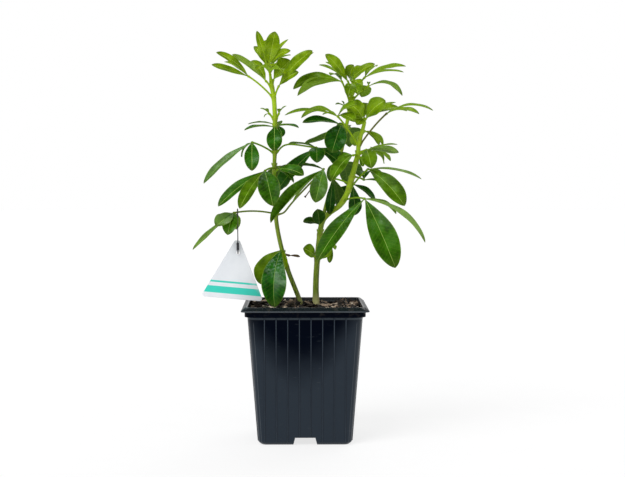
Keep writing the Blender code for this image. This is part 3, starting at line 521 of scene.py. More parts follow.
class Finish(Shading):
    """A Principled material. Its sockets are given as words, with an underscore for each space."""

    def __init__(self, name, **constants):
        self.material = bpy.data.materials.new(name)
        self.material.use_nodes = True
        super().__init__(self.material.node_tree)
        self.shader = self.tree.nodes["Principled BSDF"]
        self.set(**constants)

    def set(self, **sockets):
        self.feed(self.shader, {key.replace("_", " "): value for key, value in sockets.items()})

    def mix(self, factor, first, second):
        """The first colour where the factor is 0 and the second where it is 1."""
        return self.node("Mix", 2, {"data_type": "RGBA"}, {0: factor, 6: first, 7: second})

    def coated(self, colour, *coats):
        """The colour under further ones, each laid over it where its factor is, as (factor, colour)."""
        for factor, coat in coats:
            colour = self.mix(factor, colour, coat)
        return colour

    def place(self, scale=(1.0, 1.0, 1.0)):
        """Object coordinates in millimetres, stretched by the scale."""
        spot = self.node("TexCoord", "Object", {}, {})
        return self.node("Mapping", 0, {}, {"Vector": spot, "Scale": [part / MM for part in scale]})

    def noise(self, place, scale, detail=3.0, roughness=0.55):
        return self.node("TexNoise", "Fac", {}, {
            "Vector": place, "Scale": scale, "Detail": detail, "Roughness": roughness})

    def cells(self, place, scale):
        return self.node("TexVoronoi", "Distance", {}, {"Vector": place, "Scale": scale})

    def marks(self, *names):
        """The values of those names that the mesh holds at each point."""
        return [self.node("Attribute", "Fac", {"attribute_name": name}, {}) for name in names]

    def bump(self, height, distance, strength=1.0):
        """Relief from a height of 0 to 1 that stands for that distance in millimetres."""
        self.set(Normal=self.node("Bump", 0, {}, {
            "Height": height, "Distance": distance * MM, "Strength": strength}))

    def paint(self, colour, roughness):
        self.set(Base_Color=colour, Roughness=roughness)
        return self.material


def tone(red, green, blue):
    """The linear colour of a screen colour that is given from 0 to 255."""
    screen = np.array([red, green, blue]) / 255
    linear = np.where(screen <= 0.04045, screen / 12.92, ((screen + 0.055) / 1.055) ** 2.4)
    return (*linear.tolist(), 1.0)


# Finishes


def leaf_finish():
    """Glossy leaf: green by age, a pale midrib, faint side veins, and a paler, duller underside.

    Young blades let some light through, which is a weak glow here, most of all on their undersides.
    """
    leaf = Finish("glossy_leaf", Specular_IOR_Level=0.02, Coat_Roughness=0.25, Subsurface_Weight=0.15,
                  Subsurface_Radius=(0.8, 1.0, 0.2), Subsurface_Scale=MM, Emission_Strength=0.16)
    age, upper, across, run, along, stalk = leaf.marks("age", "upper", "across", "run", "along", "stalk")
    tint, edge, brown, sheen, deep, pale = leaf.marks("tint", "edge", "brown", "sheen", "deep", "pale")
    place = leaf.place()
    cloud = leaf.noise(place, 0.11, 3.0)
    grain = leaf.noise(place, 1.4, 4.0)
    glands = leaf.cells(place, 1.1).rising(0.32, 0.12)
    patch = leaf.noise(place, 0.2, 5.0, 0.6).rising(0.34, 0.6) * along.rising(0.9, 0.4)
    speckle = leaf.noise(place, 0.55, 5.0, 0.7).rising(0.45, 0.62)
    side = across.absolute()
    midrib = side.rising(0.27, 0.06)
    vein = ((run - side * 0.85 + cloud * 2.4) * (2 * math.pi / 3.3)).sine().rising(0.6, 1.0)
    vein = vein * side.rising(0.1, 0.9)
    # A random cloud of tone, and painted shade: each blade is lighter near its midrib and darker towards its
    # edges
    cloud_and_painted_shade = cloud.rising(0.34, 0.66) * 0.7 + side.rising(5.0, 0.6) * 0.3
    old = leaf.mix(cloud_and_painted_shade, tone(0, 36, 0), tone(26, 98, 6))
    young = leaf.mix(cloud_and_painted_shade, tone(74, 104, 2), tone(142, 170, 8))
    tinted = leaf.mix(age, tone(34, 92, 8), tone(84, 110, 2))
    rib = leaf.mix(age, tone(168, 198, 98), tone(196, 218, 96))
    top = leaf.coated(
        leaf.mix(age, old, young),
        ((tint * 0.5 + 0.5) * 0.35, tinted),
        (vein * 0.05, tone(150, 180, 70)),
        (glands * 0.08, tone(150, 185, 60)),
        (grain.rising(0.62, 0.8) * 0.2, tone(14, 56, 4)),
        (midrib * (0.75 - age * 0.3 - sheen * 0.3), rib),
        # A painted reflection of the sky, which pales the upper side of some leaflets
        (pale * (0.35 + grain * 0.3 + cloud * 0.3), tone(136, 164, 96)),
        # A mottled pale painted reflection where a leaflet has sheen, on its half nearer the hub
        (sheen * patch * speckle * along.rising(0.65, 0.35) * 0.5, tone(138, 172, 140)))
    under = leaf.coated(
        leaf.mix(age, tone(74, 112, 36), tone(140, 172, 34)),
        (cloud * 0.4, tone(110, 142, 66)),
        (midrib * 0.6 + vein * 0.2, tone(156, 184, 84)))
    bark = leaf.coated(
        leaf.mix(age, tone(104, 138, 30), tone(158, 190, 30)),
        (grain.rising(0.5, 0.75) * 0.25, tone(112, 100, 40)))
    colour = leaf.coated(
        leaf.mix(upper, under, top),
        # Painted shade on leaves that sit at the back or in among the others
        (deep * 0.6, tone(0, 36, 8)),
        (edge.rising(0.9, 1.0) * 0.3, tone(146, 168, 70)),
        (along.rising(0.84, 1.0) * 0.6, tone(60, 74, 24)),
        (stalk, bark),
        (brown, leaf.mix(grain, tone(60, 44, 36), tone(112, 90, 72))))
    glow = leaf.mix(age * (1 - stalk) * (1 - upper * 0.7), tone(0, 0, 0), tone(150, 190, 20))
    wax = upper * (1 - stalk) * (0.02 + cloud.rising(0.5, 0.7) * 0.3 + sheen * patch * 0.45)
    leaf.set(Coat_Weight=wax, Emission_Color=glow)
    leaf.bump(vein * 0.15 + grain * 0.3 - midrib * 0.5 + glands * 0.2 + cloud * 0.8, 0.1, 0.5)
    return leaf.paint(colour, 0.34 + cloud * 0.12 + grain * 0.08 + ((1 - upper) * 0.22 + stalk * 0.1))


def stem_finish():
    """Green stem with fine upright streaks, olive and woody low down and yellow green near its tips."""
    stem = Finish("green_stem", Specular_IOR_Level=0.22, Emission_Strength=0.05)
    age, wood, scar, fresh, shady = stem.marks("age", "wood", "scar", "fresh", "shady")
    streaks = stem.noise(stem.place((1.0, 1.0, 0.12)), 1.1, 5.0)
    patches = stem.noise(stem.place(), 0.16, 3.0)
    pores = stem.cells(stem.place((1.0, 1.0, 0.45)), 0.62).rising(0.2, 0.1)
    low = stem.mix(streaks.rising(0.35, 0.65), tone(66, 88, 22), tone(134, 154, 54))
    high = stem.mix(streaks, tone(104, 136, 4), tone(152, 176, 30))
    colour = stem.coated(
        stem.mix(age, low, high),
        (patches.rising(0.5, 0.72) * 0.35, tone(92, 118, 34)),
        (fresh * (0.5 + streaks * 0.5), tone(164, 198, 26)),
        # Painted shade down one side of the stem, less where it is young or fresh
        (shady * (0.75 - age * 0.5) * (1 - fresh * 0.8), tone(44, 56, 14)),
        (pores * (1 - age) * 0.6, tone(168, 160, 112)),
        (scar * 0.25, tone(120, 84, 44)),
        (wood, stem.mix(streaks, tone(158, 150, 92), tone(216, 208, 164))))
    # A weak glow of painted light where the stem is fresh
    stem.set(Emission_Color=stem.mix(fresh, tone(0, 0, 0), tone(150, 190, 20)))
    stem.bump(streaks * 0.6 + pores * 0.3 + patches * 0.3, 0.25, 0.6)
    return stem.paint(colour, 0.42 + wood * 0.35 + streaks * 0.12)


def soil_finish():
    """Dark damp potting soil between the chips."""
    soil = Finish("dark_soil", Specular_IOR_Level=0.15)
    crumbs = soil.noise(soil.place(), 0.9, 6.0, 0.7)
    cells = soil.cells(soil.place(), 0.8)
    colour = soil.mix(crumbs.rising(0.35, 0.7), tone(8, 6, 4), tone(46, 33, 24))
    soil.bump(crumbs + cells * 0.6, 1.2)
    return soil.paint(colour, 0.8 + crumbs * 0.18)


def chip_finish():
    """Bark chips, from near black through red brown and tan to a few pale ones, with a woody grain."""
    chip = Finish("bark_chips", Specular_IOR_Level=0.3)
    (shade,) = chip.marks("shade")
    grain = chip.noise(chip.place(), 1.3, 5.0, 0.65)
    ramp = chip.node("ValToRGB", "Color", {"stops": [
        (0.0, tone(10, 8, 8)), (0.38, tone(42, 33, 28)), (0.6, tone(118, 99, 84)),
        (0.8, tone(190, 168, 146)), (1.0, tone(246, 234, 216))]}, {"Fac": shade})
    chip.bump(grain, 0.7)
    return chip.paint(chip.mix(grain.rising(0.45, 0.75) * 0.4, ramp, tone(40, 28, 20)), 0.72 + grain * 0.2)


def pot_finish():
    """Black moulded plastic: satin, scuffed, with a painted highlight down its corners, and dusty near the
    rim.

    The front is blackest high up in the middle, and shines and is painted greyer towards its sides and foot.
    """
    pot = Finish("black_plastic", Specular_IOR_Level=0.02, Coat_Roughness=0.22)
    place = pot.place()
    x, y, z = [pot.part(axis, place) for axis in "XYZ"]
    skin = pot.noise(place, 1.6, 4.0)
    cloud = pot.noise(place, 0.05, 3.0)
    # Where a paler painted reflection is laid over the colour and the coat is glossier: little high up in
    # the middle of the front, more towards its sides and foot, and most on the other faces, all below the
    # collar
    off_middle = (x + 4) / 44
    body = (off_middle * off_middle + (100 - z) / 42 + cloud * 0.3).rising(0.55, 1.6)
    front = y.rising(0.0, -30.0)
    body = (1 - (1 - body) * front) * z.rising(COLLAR_BOTTOM - 0.2, COLLAR_BOTTOM - 0.6)
    outer = x.absolute().rising(CREST_HALF - 0.6, CREST_HALF + 0.4)
    rim = z.rising(FLANGE_BOTTOM - 0.1, FLANGE_BOTTOM + 0.1)
    # A painted highlight along the ledge just under the collar
    ledge = z.rising(COLLAR_BOTTOM - 2.0, COLLAR_BOTTOM - 1.2)
    ledge = ledge * z.rising(COLLAR_BOTTOM + 0.1, COLLAR_BOTTOM - 0.2)
    # A painted highlight along the flange's outer edge
    lip = z.rising(FLANGE_BOTTOM - 0.2, FLANGE_BOTTOM + 0.1) * z.rising(FLANGE_TOP + 0.2, FLANGE_TOP - 0.1)
    scuffs = pot.noise(pot.place((0.25, 0.25, 1.6)), 0.5, 6.0).rising(0.62, 0.8)
    # A painted highlight streak down each corner of the body, in the same pale colour as the real scuffs
    lead = (x.absolute() - y.absolute()).absolute()
    corner = (lead - z * 0.013 - 1.9).absolute().rising(0.6, 0.1) * z.rising(99.0, 96.0)
    dust = pot.noise(place, 0.3, 5.0).rising(0.5, 0.75) * z.rising(98, 108)
    colour = pot.coated(
        pot.mix(cloud, tone(0, 2, 12), tone(1, 6, 18)),
        (body, tone(14, 28, 40)),
        (ledge * 0.7, tone(66, 74, 80)),
        (rim * 0.7, tone(10, 19, 27)),
        (lip * 0.45, tone(82, 90, 96)),
        (scuffs * 0.25 + corner * 0.4, tone(84, 90, 96)),
        (dust * 0.12, tone(112, 104, 92)))
    pot.bump(skin * 0.5 + cloud * 0.5, 0.08, 0.5)
    pot.set(Coat_Weight=(body * 0.62 + rim * (1 - outer * 0.7) * 0.65) * 0.8)
    return pot.paint(colour, 0.30 + cloud * 0.10 + scuffs * 0.15 + dust * 0.2)


def rib_finish():
    """The ribs' plastic, with a painted highlight along their fronts, most of all high up and low down."""
    rib = Finish("highlit_rib_plastic", Specular_IOR_Level=0.12)
    (crest,) = rib.marks("crest")
    z = rib.part("Z", rib.place())
    streak_noise = rib.noise(rib.place((1.0, 1.0, 0.12)), 0.8, 4.0)
    # A painted highlight along each rib's crest, strongest high up and low down, broken by the streak noise
    ends = z.rising(62, 96) * 0.2 + z.rising(42, 8) * 0.15 + 0.42
    colour = rib.mix(crest * ends * (0.5 + streak_noise * 0.8), tone(8, 18, 30), tone(72, 82, 92))
    rib.bump(streak_noise, 0.05, 0.4)
    return rib.paint(colour, 0.35 + streak_noise * 0.2)


def tag_finish():
    """White frosted plastic with two plain printed bands."""
    tag = Finish("white_tag_plastic", Specular_IOR_Level=0.5)
    (printed,) = tag.marks("printed")
    place = tag.place()
    level = tag.part("Z", place) + (tag.part("X", place) - BAND_LEVEL_X) * BAND_SLOPE
    mist = tag.noise(place, 0.08, 3.0)
    broad, narrow = [level.rising(low, low + BAND_EDGE) * level.rising(high + BAND_EDGE, high)
                     for low, high in TAG_BANDS]
    colour = tag.mix(mist, tone(206, 210, 216), tone(226, 229, 232))
    colour = tag.mix((broad + narrow) * printed, colour, tone(34, 196, 176))
    tag.bump(tag.noise(place, 2.2, 3.0), 0.03, 0.4)
    return tag.paint(colour, 0.34 + mist * 0.12)


def wire_finish():
    """Dark drawn wire with fine scratches along it."""
    wire = Finish("dark_wire", Metallic=1.0)
    scratches = wire.noise(wire.place((1.0, 1.0, 0.2)), 3.0, 4.0)
    colour = wire.mix(scratches, tone(38, 38, 42), tone(96, 96, 102))
    wire.bump(scratches, 0.05, 0.5)
    return wire.paint(colour, 0.32 + scratches * 0.2)


def floor_finish():
    """Plain pale sheet of a light table, that glows a little."""
    floor = Finish("pale_floor", Specular_IOR_Level=0.1, Emission_Strength=FLOOR_GLOW)
    fibre = floor.noise(floor.place((0.02, 0.02, 0.02)), 1.0, 3.0)
    return floor.paint(floor.mix(fibre, tone(128, 128, 129), tone(134, 134, 134)), 0.85 + fibre * 0.05)


# Surfaces


class Skin:
    """Points in millimetres, the quads and triangles between them, and named values at each point."""

    def __init__(self, points, quads, triangles, marks):
        self.points = points
        self.quads = quads
        self.triangles = triangles
        self.marks = marks

    def mesh(self, name):
        """A Blender mesh of the points and faces, in metres."""
        mesh = bpy.data.meshes.new(name)
        mesh.from_pydata((self.points * MM).tolist(), [], self.quads.tolist() + self.triangles.tolist())
        return mesh


def placed(name, data):
    """A new object in the scene, at the origin, that holds the data."""
    thing = bpy.data.objects.new(name, data)
    bpy.context.scene.collection.objects.link(thing)
    return thing


def gathered(skins):
    """Several skins end to end as one, with their faces' numbers moved on to match."""
    starts = np.cumsum([0] + [len(skin.points) for skin in skins])
    names = sorted({name for skin in skins for name in skin.marks})
    marks = {}
    for name in names:
        marks[name] = np.concatenate([
            np.broadcast_to(skin.marks.get(name, 0.0), len(skin.points)) for skin in skins])
    return Skin(
        np.concatenate([skin.points for skin in skins]),
        np.concatenate([skin.quads + start for skin, start in zip(skins, starts)]),
        np.concatenate([skin.triangles + start for skin, start in zip(skins, starts)]),
        marks)


def piece(name, skins, finish, nodes):
    """One object from the skins, that rides on the root and stands for the CAD nodes."""
    whole = gathered(skins)
    mesh = whole.mesh(name)
    for key, values in whole.marks.items():
        mark = mesh.attributes.new(key, "FLOAT", "POINT")
        mark.data.foreach_set("value", values.astype(np.float32))
    mesh.materials.append(finish)
    mesh.shade_smooth()
    mesh.set_sharp_from_angle(angle=math.radians(SHARP))
    mesh.update()
    thing = placed(name, mesh)
    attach(thing, "root")
    if nodes:
        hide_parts(*nodes)
    return thing


def unit(vectors):
    vectors = np.asarray(vectors, float)
    return vectors / np.linalg.norm(vectors, axis=-1, keepdims=True)


def lofted(rings, **marks):
    """A closed skin over a grid (ring, place round it), with a pole in the middle of each end.

    The rings turn anticlockwise seen from past the last one, so the faces point outwards. A mark is one
    value or a grid of them, and a pole takes the mean of its ring.
    """
    count, around, _ = rings.shape
    side = np.arange(around)
    beside = (side + 1) % around
    start = (np.arange(count - 1) * around)[:, None]
    quads = np.stack([start + side, start + beside, start + around + beside, start + around + side], -1)
    last = (count - 1) * around
    below = np.column_stack([np.full(around, count * around), beside, side])
    above = np.column_stack([np.full(around, count * around + 1), last + side, last + beside])
    points = np.concatenate([rings.reshape(-1, 3), rings[:1].mean(1), rings[-1:].mean(1)])
    for key, values in marks.items():
        grid = np.broadcast_to(values, (count, around))
        marks[key] = np.concatenate([grid.ravel(), [grid[0].mean(), grid[-1].mean()]])
    return Skin(points, quads.reshape(-1, 4), np.concatenate([below, above]), marks)


def bow_curve(start, middle, end, t):
    """A quadratic Bezier curve: (1 - t)² start + 2 t (1 - t) middle + t² end, with t as a column."""
    return (1 - t) ** 2 * start + 2 * t * (1 - t) * middle + t**2 * end


def curve(knots, step):
    """A Catmull-Rom spline through the knots, sampled about every step."""
    knots = np.asarray(knots, float)
    ends = np.vstack([2 * knots[0] - knots[1], knots, 2 * knots[-1] - knots[-2]])
    lengths = np.linalg.norm(np.diff(knots, axis=0), axis=1)
    counts = np.maximum(1, np.round(lengths / step)).astype(int)
    which = np.repeat(np.arange(len(counts)), counts)
    t = np.concatenate([np.arange(count) / count for count in counts])[:, None]
    one, two, three, four = [ends[which + shift] for shift in range(4)]
    square = (2 * one - 5 * two + 4 * three - four) * t**2
    cube = (3 * two - one - 3 * three + four) * t**3
    points = 0.5 * (2 * two + (three - one) * t + square + cube)
    return np.vstack([points, knots[-1]])


def circle_angles(sides, start=0.0):
    """Angles evenly round a circle, from the start as a share of one step."""
    return 2 * math.pi * (np.arange(sides) + start) / sides


def swept(path, radii, sides, reference, **marks):
    """A bar along the path: each ring is radius (cos a · side + sin a · other), square to the path.

    The side is square to the path and to the reference direction. The radii are one for each ring, or a
    grid with one for each place round it too.
    """
    ahead = unit(np.gradient(path, axis=0))
    side = unit(np.cross(ahead, reference))
    other = np.cross(ahead, side)
    angle = circle_angles(sides)[:, None]
    round_it = np.cos(angle) * side[:, None] + np.sin(angle) * other[:, None]
    radii = np.asarray(radii, float)
    radii = radii[:, None] if radii.ndim == 1 else radii
    return lofted(path[:, None] + radii[..., None] * round_it, **marks)


# Leaves


def blade_width(t):
    """Half width along a leaflet as a share of the widest: (t / w)^base · ((1 - t) / (1 - w))^tip."""
    widest = BLADE_BASE / (BLADE_BASE + BLADE_TIP)
    return (t / widest) ** BLADE_BASE * ((1 - t) / (1 - widest)) ** BLADE_TIP


def leaflet_skin(hub, leaflet, rng, bow=0.0, shut=0.0, **looks):
    """A leaflet over a grid: t runs from the hub to the tip and s from one edge to the other.

    The middle line is a Bezier curve bowed by the arch, and sideways by the bow. Across it each half
    rises from the midrib by half width · tan(fold) · (1.35 |s| - 0.35 s²), the edges add waves
    sin(2 pi k t + phase) s², and the section turns slowly along the leaf. The lower skin lies a
    thickness below, with the midrib proud. Shut adds to the fold and narrows the half width by its cosine.
    """
    hub = np.asarray(hub, float)
    tip = np.array(leaflet[:3], float)
    width, arch, face = leaflet[3:]
    chord = tip - hub
    length = np.linalg.norm(chord)
    ahead = chord / length
    turn = math.radians(face)
    upper = np.array([0.0, -math.sin(turn), math.cos(turn)])
    upper = unit(upper - ahead * (upper @ ahead))
    sideways = unit(np.cross(ahead, upper))
    middle = (hub + tip) / 2 + upper * arch * 2 + sideways * bow * 2
    even = np.linspace(0, 1, LEAF_ROWS)
    t = (0.45 * even + 0.55 * (1 - np.cos(math.pi * even)) / 2)[:, None]
    even = np.linspace(-1, 1, LEAF_COLUMNS)
    s = even - 0.11 * np.sin(2 * math.pi * even)
    path = bow_curve(hub, middle, tip, t)
    tangent = unit((1 - t) * (middle - hub) + t * (tip - middle))
    side = unit(sideways - tangent * (tangent @ sideways)[:, None])
    normal = np.cross(side, tangent)
    twist = math.radians(rng.uniform(*TWIST_SPREAD)) * (t - 0.3)
    cos, sin = np.cos(twist), np.sin(twist)
    side, normal = cos * side + sin * normal, cos * normal - sin * side
    half = np.maximum(blade_width(np.clip(t, 0, 0.9995)) * width / 2, LEAST_HALF - 0.3 * t)
    fold = math.tan(math.radians(FOLD_DEGREES + rng.uniform(*FOLD_SPREAD) + shut))
    half = half * math.cos(math.radians(shut))
    waves, phase, other_phase = rng.uniform(*RIPPLE_WAVES), rng.uniform(0, 6), rng.uniform(0, 6)
    swing = 2 * math.pi * waves * t + np.where(s > 0, phase, other_phase)
    ripple = RIPPLE * half * np.sin(swing) * s**2 * np.sin(math.pi * t)
    lift = half * fold * (1.35 * np.abs(s) - 0.35 * s**2) + ripple
    across = half * s
    thick = LEAF_THICKNESS * (1 - EDGE_THINNER * s**2) * np.minimum(1, 0.45 + half / 3)
    proud = MIDRIB_PROUD * np.exp(-((across / MIDRIB_HALF) ** 2)) * (1 - 0.75 * t)
    flat = path[:, None] + across[..., None] * side[:, None]
    top = flat + (lift + thick / 2)[..., None] * normal[:, None]
    low = flat + (lift - thick / 2 - proud)[..., None] * normal[:, None]
    rings = np.concatenate([top, low[:, ::-1]], axis=1)
    across = np.concatenate([across, across[:, ::-1]], axis=1)
    is_upper = np.repeat([1.0, 0.0], len(s))
    edge = np.abs(np.concatenate([s, s[::-1]]))
    return lofted(rings, across=across, upper=is_upper, along=t, run=t * length, tint=rng.uniform(-1, 1),
                  stalk=0.0, edge=edge, **looks)


def stem_point(stem, z):
    """Middle, direction and radius of a stem at height z."""
    axis, radii = STEMS[stem]
    path = curve(axis, STEM_STEP)
    levels = np.array([z - 1, z, z + 1])
    x = np.interp(levels, path[:, 2], path[:, 0])
    y = np.interp(levels, path[:, 2], path[:, 1])
    low, middle, high = np.column_stack([x, y, levels])
    return middle, unit(high - low), float(np.interp(z, *zip(*radii)))


def stalk_skin(stem, height, hub, route, age, brown):
    """A leaf's stalk from inside the stem to its hub: thick at the foot, slim, and a knob at the hub."""
    hub = np.array(hub, float)
    axis, radii = STEMS[stem]
    if height is None:
        start = np.array(axis[-1], float)
        bow = start + (0, 0, np.linalg.norm(hub - start) * TIP_BOW)
        foot = radii[-1][1] * TIP_SHARE
    else:
        middle, along, radius = stem_point(stem, height)
        away = hub - middle
        away = unit(away - along * (away @ along))
        start = middle + away * radius * 0.5
        bow = (start + hub) / 2 + (0, 0, np.linalg.norm(hub - start) * STALK_BOW)
        foot = PETIOLE_RADIUS * FOOT_FLARE
    count = max(6, round(float(np.linalg.norm(hub - start)) / PETIOLE_STEP))
    path = bow_curve(start, bow, hub, np.linspace(0, 1, count + 1)[:, None])
    if route:
        path = curve([start, *route, hub], PETIOLE_STEP)
    ahead = unit(path[-1] - path[-2])
    path = np.vstack([path[:-1], path[-1] - ahead * HUB_REACH, path[-1], path[-1] + ahead * HUB_REACH])
    gone = np.concatenate([[0.0], np.cumsum(np.linalg.norm(np.diff(path, axis=0), axis=1))])
    left = gone[-1] - gone
    thick = PETIOLE_RADIUS + (foot - PETIOLE_RADIUS) * np.exp(-((gone / FOOT_LENGTH) ** 2))
    thick = thick + (HUB_RADIUS - PETIOLE_RADIUS) * np.exp(-((left / HUB_LENGTH) ** 2))
    thick[-1] *= 0.45
    reference = BACK if abs(ahead[2]) > 0.75 else UP
    return swept(path, thick, PETIOLE_SIDES, reference, stalk=1.0, age=age, upper=1.0, across=9.0,
                 brown=brown)


def dry_stalk_skin():
    """A thin bar along a spline, that swells to a knob at its end by exp(-(left / 0.9)²)."""
    path = curve(DRY_STALK, 0.5)
    left = np.linalg.norm(path - path[-1], axis=1)
    thick = DRY_STALK_RADIUS + DRY_KNOB_RADIUS * np.exp(-((left / 0.9) ** 2))
    thick[-1] *= 0.5
    return swept(path, thick, PETIOLE_SIDES, BACK, stalk=1.0, across=9.0, brown=1.0)


def stem_of(name):
    """The stem that a leaf grows on."""
    return name.split("_")[0]


def leaflet_looks(name, place):
    """The looks that leaflets share, and over them the leaf's own and then the leaflet's own."""
    age = next(value for pair, value in LEAF_AGE.items() if name.startswith(pair))
    return {**COMMON_LOOKS, "age": age, **OWN_LOOKS.get(name, {}), **OWN_LOOKS.get((name, place), {})}


def build_leaves(finish):
    """One piece for each leafy CAD node: its stalks and all its leaflets."""
    rng = np.random.default_rng(LEAF_SEED)
    fronds = {}
    for name, height, hub, leaflets, *route in LEAVES:
        skins = fronds.setdefault(name, [])
        age = leaflet_looks(name, None)["age"]
        skins.append(stalk_skin(
            stem_of(name), height, hub, route[0] if route else (), age, BROWN_STALKS.get(name, 0.0)))
        skins += [leaflet_skin(hub, leaflet, rng, **leaflet_looks(name, place))
                  for place, leaflet in enumerate(leaflets)]
    fronds[DRY_STALK_LEAF].append(dry_stalk_skin())
    fronds[SMALL_LEAFLET_LEAF].append(leaflet_skin(*SMALL_LEAFLET, rng, age=SMALL_LEAFLET_AGE))
    for name, skins in fronds.items():
        piece(name + "_foliage", skins, finish, [name])


# Stems


def stem_skin(stem, foot):
    """A stem along its spline: round, with four low ridges, and thicker at each leaf joint."""
    axis, radii = STEMS[stem]
    heights = sorted({height for name, height, *_ in LEAVES if stem_of(name) == stem and height})
    path = curve(axis, STEM_STEP)
    if foot:
        below = np.linspace(-8, -1, 5)[:, None] * UP
        path = np.vstack([path[0] + below, path])
    z = path[:, 2:]
    off_joint = z - heights
    joints = np.exp(-((off_joint / SWELLING_LENGTH) ** 2)).sum(1, keepdims=True)
    thick = np.interp(z, *zip(*radii)) * (1 + SWELLING * np.minimum(joints, 1.2))
    angle = circle_angles(STEM_SIDES)
    ridges = 1 + STEM_RIDGES * np.cos(4 * angle)
    tip = axis[-1][2]
    return swept(
        path, thick * ridges, STEM_SIDES, BACK,
        age=np.clip(0.25 + 0.75 * (z - POT_HEIGHT) / (tip - YOUNG_FROM_TIP - POT_HEIGHT), OLDEST, 1.0),
        wood=np.clip((WOOD_TOP - z) / WOOD_FADE, 0, 1) * WOOD[stem],
        # The fresh young colour near the tips, which also drives a weak painted glow
        fresh=np.clip((z - FRESH_FROM[stem]) / FRESH_FADE, 0, 1) * FRESH[stem],
        scar=np.exp(-((off_joint / SCAR_LENGTH) ** 2)).max(1, keepdims=True),
        # Painted shade, strongest on the side that the shady turn faces
        shady=np.clip(0.15 + 0.95 * np.cos(angle - math.radians(SHADY_TURN)), 0, 1))


def bud_skin(stem, height, turn):
    """A small pointed bud in a leaf's angle: radius b · sin(pi u)^0.8 · (1 - 0.45 u) along its length."""
    middle, along, radius = stem_point(stem, height + BUD_RISE)
    angle = math.radians(turn)
    out = np.array([math.cos(angle), math.sin(angle), 0.0])
    u = np.linspace(0.04, 0.97, 9)
    path = middle + out * radius * 0.75 + u[:, None] * BUD_LENGTH * unit(along + BUD_LEAN * out)
    thick = BUD_RADIUS * np.sin(math.pi * u) ** 0.8 * (1 - 0.45 * u)
    return swept(path, thick, BUD_SIDES, BACK, age=0.8, wood=0.0)


def build_stems(finish):
    """One piece for each stem node: its bars, of which a branch has no foot in the soil, and its buds."""
    for node, stems in (("left_stem", ["left"]), ("right_stem", ["right", "branch"])):
        skins = [stem_skin(stem, stem != "branch") for stem in stems]
        for stem in stems:
            heights, turns = BUDS[stem]
            skins += [bud_skin(stem, height, turn) for height in heights for turn in turns]
        piece(node + "_bark", skins, finish, [node])


# Pot and soil


def wall_half(z):
    """Half width of the pot's tapered outside at height z."""
    return BODY_BOTTOM_HALF + (BODY_TOP_HALF - BODY_BOTTOM_HALF) * z / COLLAR_BOTTOM


def square_rings(profile):
    """Rounded squares: one ring for each row of half width, height and corner radius.

    Round each corner the ring is the corner's middle plus radius (cos a, sin a), anticlockwise from above.
    """
    half, z, radius = [np.asarray(column, float)[:, None] for column in zip(*profile)]
    corner = np.repeat(np.arange(4), CORNER_STEPS + 1)
    angle = (corner + np.tile(np.linspace(0, 1, CORNER_STEPS + 1), 4)) * math.pi / 2
    middle = (corner + 0.5) * math.pi / 2
    x = (half - radius) * math.sqrt(2) * np.cos(middle) + radius * np.cos(angle)
    y = (half - radius) * math.sqrt(2) * np.sin(middle) + radius * np.sin(angle)
    return np.stack([x, y, np.broadcast_to(z, x.shape)], -1)


def eased(profile, steps=4):
    """A polyline with its corners rounded, each by a Bezier curve that starts and ends its ease away.

    A row is half width, height, corner radius and ease.
    """
    rows = np.asarray(profile, float)
    t = np.linspace(0, 1, steps + 1)[:, None]
    out = [rows[:1, :3]]
    for before, here, after in zip(rows, rows[1:], rows[2:]):
        back, on = before[:3] - here[:3], after[:3] - here[:3]
        start = here[:3] + back * min(0.45, here[3] / np.hypot(*back[:2]))
        end = here[:3] + on * min(0.45, here[3] / np.hypot(*on[:2]))
        out.append(bow_curve(start, here[:3], end, t))
    out.append(rows[-1:, :3])
    return np.concatenate(out)


def pot_profile():
    """Up the outside from the underside, over the flange and the crest, and down the inside to the floor."""
    return eased([
        (BODY_BOTTOM_HALF - 6.0, 0.0, FOOT_RADIUS - 2.4, 0),
        (BODY_BOTTOM_HALF - 2.6, 0.0, FOOT_RADIUS - 2.0, 0.6),
        (wall_half(2.2), 2.2, FOOT_RADIUS, 1.2),
        (BODY_TOP_HALF, COLLAR_BOTTOM, CORNER_RADIUS, 0.4),
        (COLLAR_HALF, COLLAR_BOTTOM + 0.3, COLLAR_RADIUS, 0.5),
        (COLLAR_HALF, FLANGE_BOTTOM, COLLAR_RADIUS, 0.35),
        (RIM_HALF, FLANGE_BOTTOM, RIM_RADIUS, 0.4),
        (RIM_HALF - 0.1, FLANGE_TOP, RIM_RADIUS, 0.6),
        (CREST_HALF + 0.5, POT_HEIGHT - 0.2, RIM_RADIUS, 0.5),
        (CREST_HALF - 0.2, POT_HEIGHT, RIM_RADIUS, 0.3),
        (THROAT_HALF, POT_HEIGHT - 0.5, RIM_RADIUS - 0.6, 0.4),
        (THROAT_HALF, COLLAR_BOTTOM + 2.2, RIM_RADIUS + 1.5, 0.5),
        (BODY_TOP_HALF - WALL, COLLAR_BOTTOM + 0.2, CORNER_RADIUS - 1.0, 0.5),
        (wall_half(FLOOR_TOP) - WALL, FLOOR_TOP, FOOT_RADIUS - WALL, 1.0),
        (FOOT_RADIUS + 4, FLOOR_TOP, FOOT_RADIUS - WALL, 0),
    ])


def turning(angles, axis):
    """Rotation matrices about one axis, one for each angle."""
    first, second = [(1, 2), (2, 0), (0, 1)][axis]
    matrices = np.zeros((len(angles), 3, 3))
    matrices[:, axis, axis] = 1
    matrices[:, first, first] = matrices[:, second, second] = np.cos(angles)
    matrices[:, second, first] = np.sin(angles)
    matrices[:, first, second] = -np.sin(angles)
    return matrices


def quarter_turned(points, turns):
    """The points turned about Z by quarter turns."""
    return points @ turning([turns * math.pi / 2], 2)[0].T


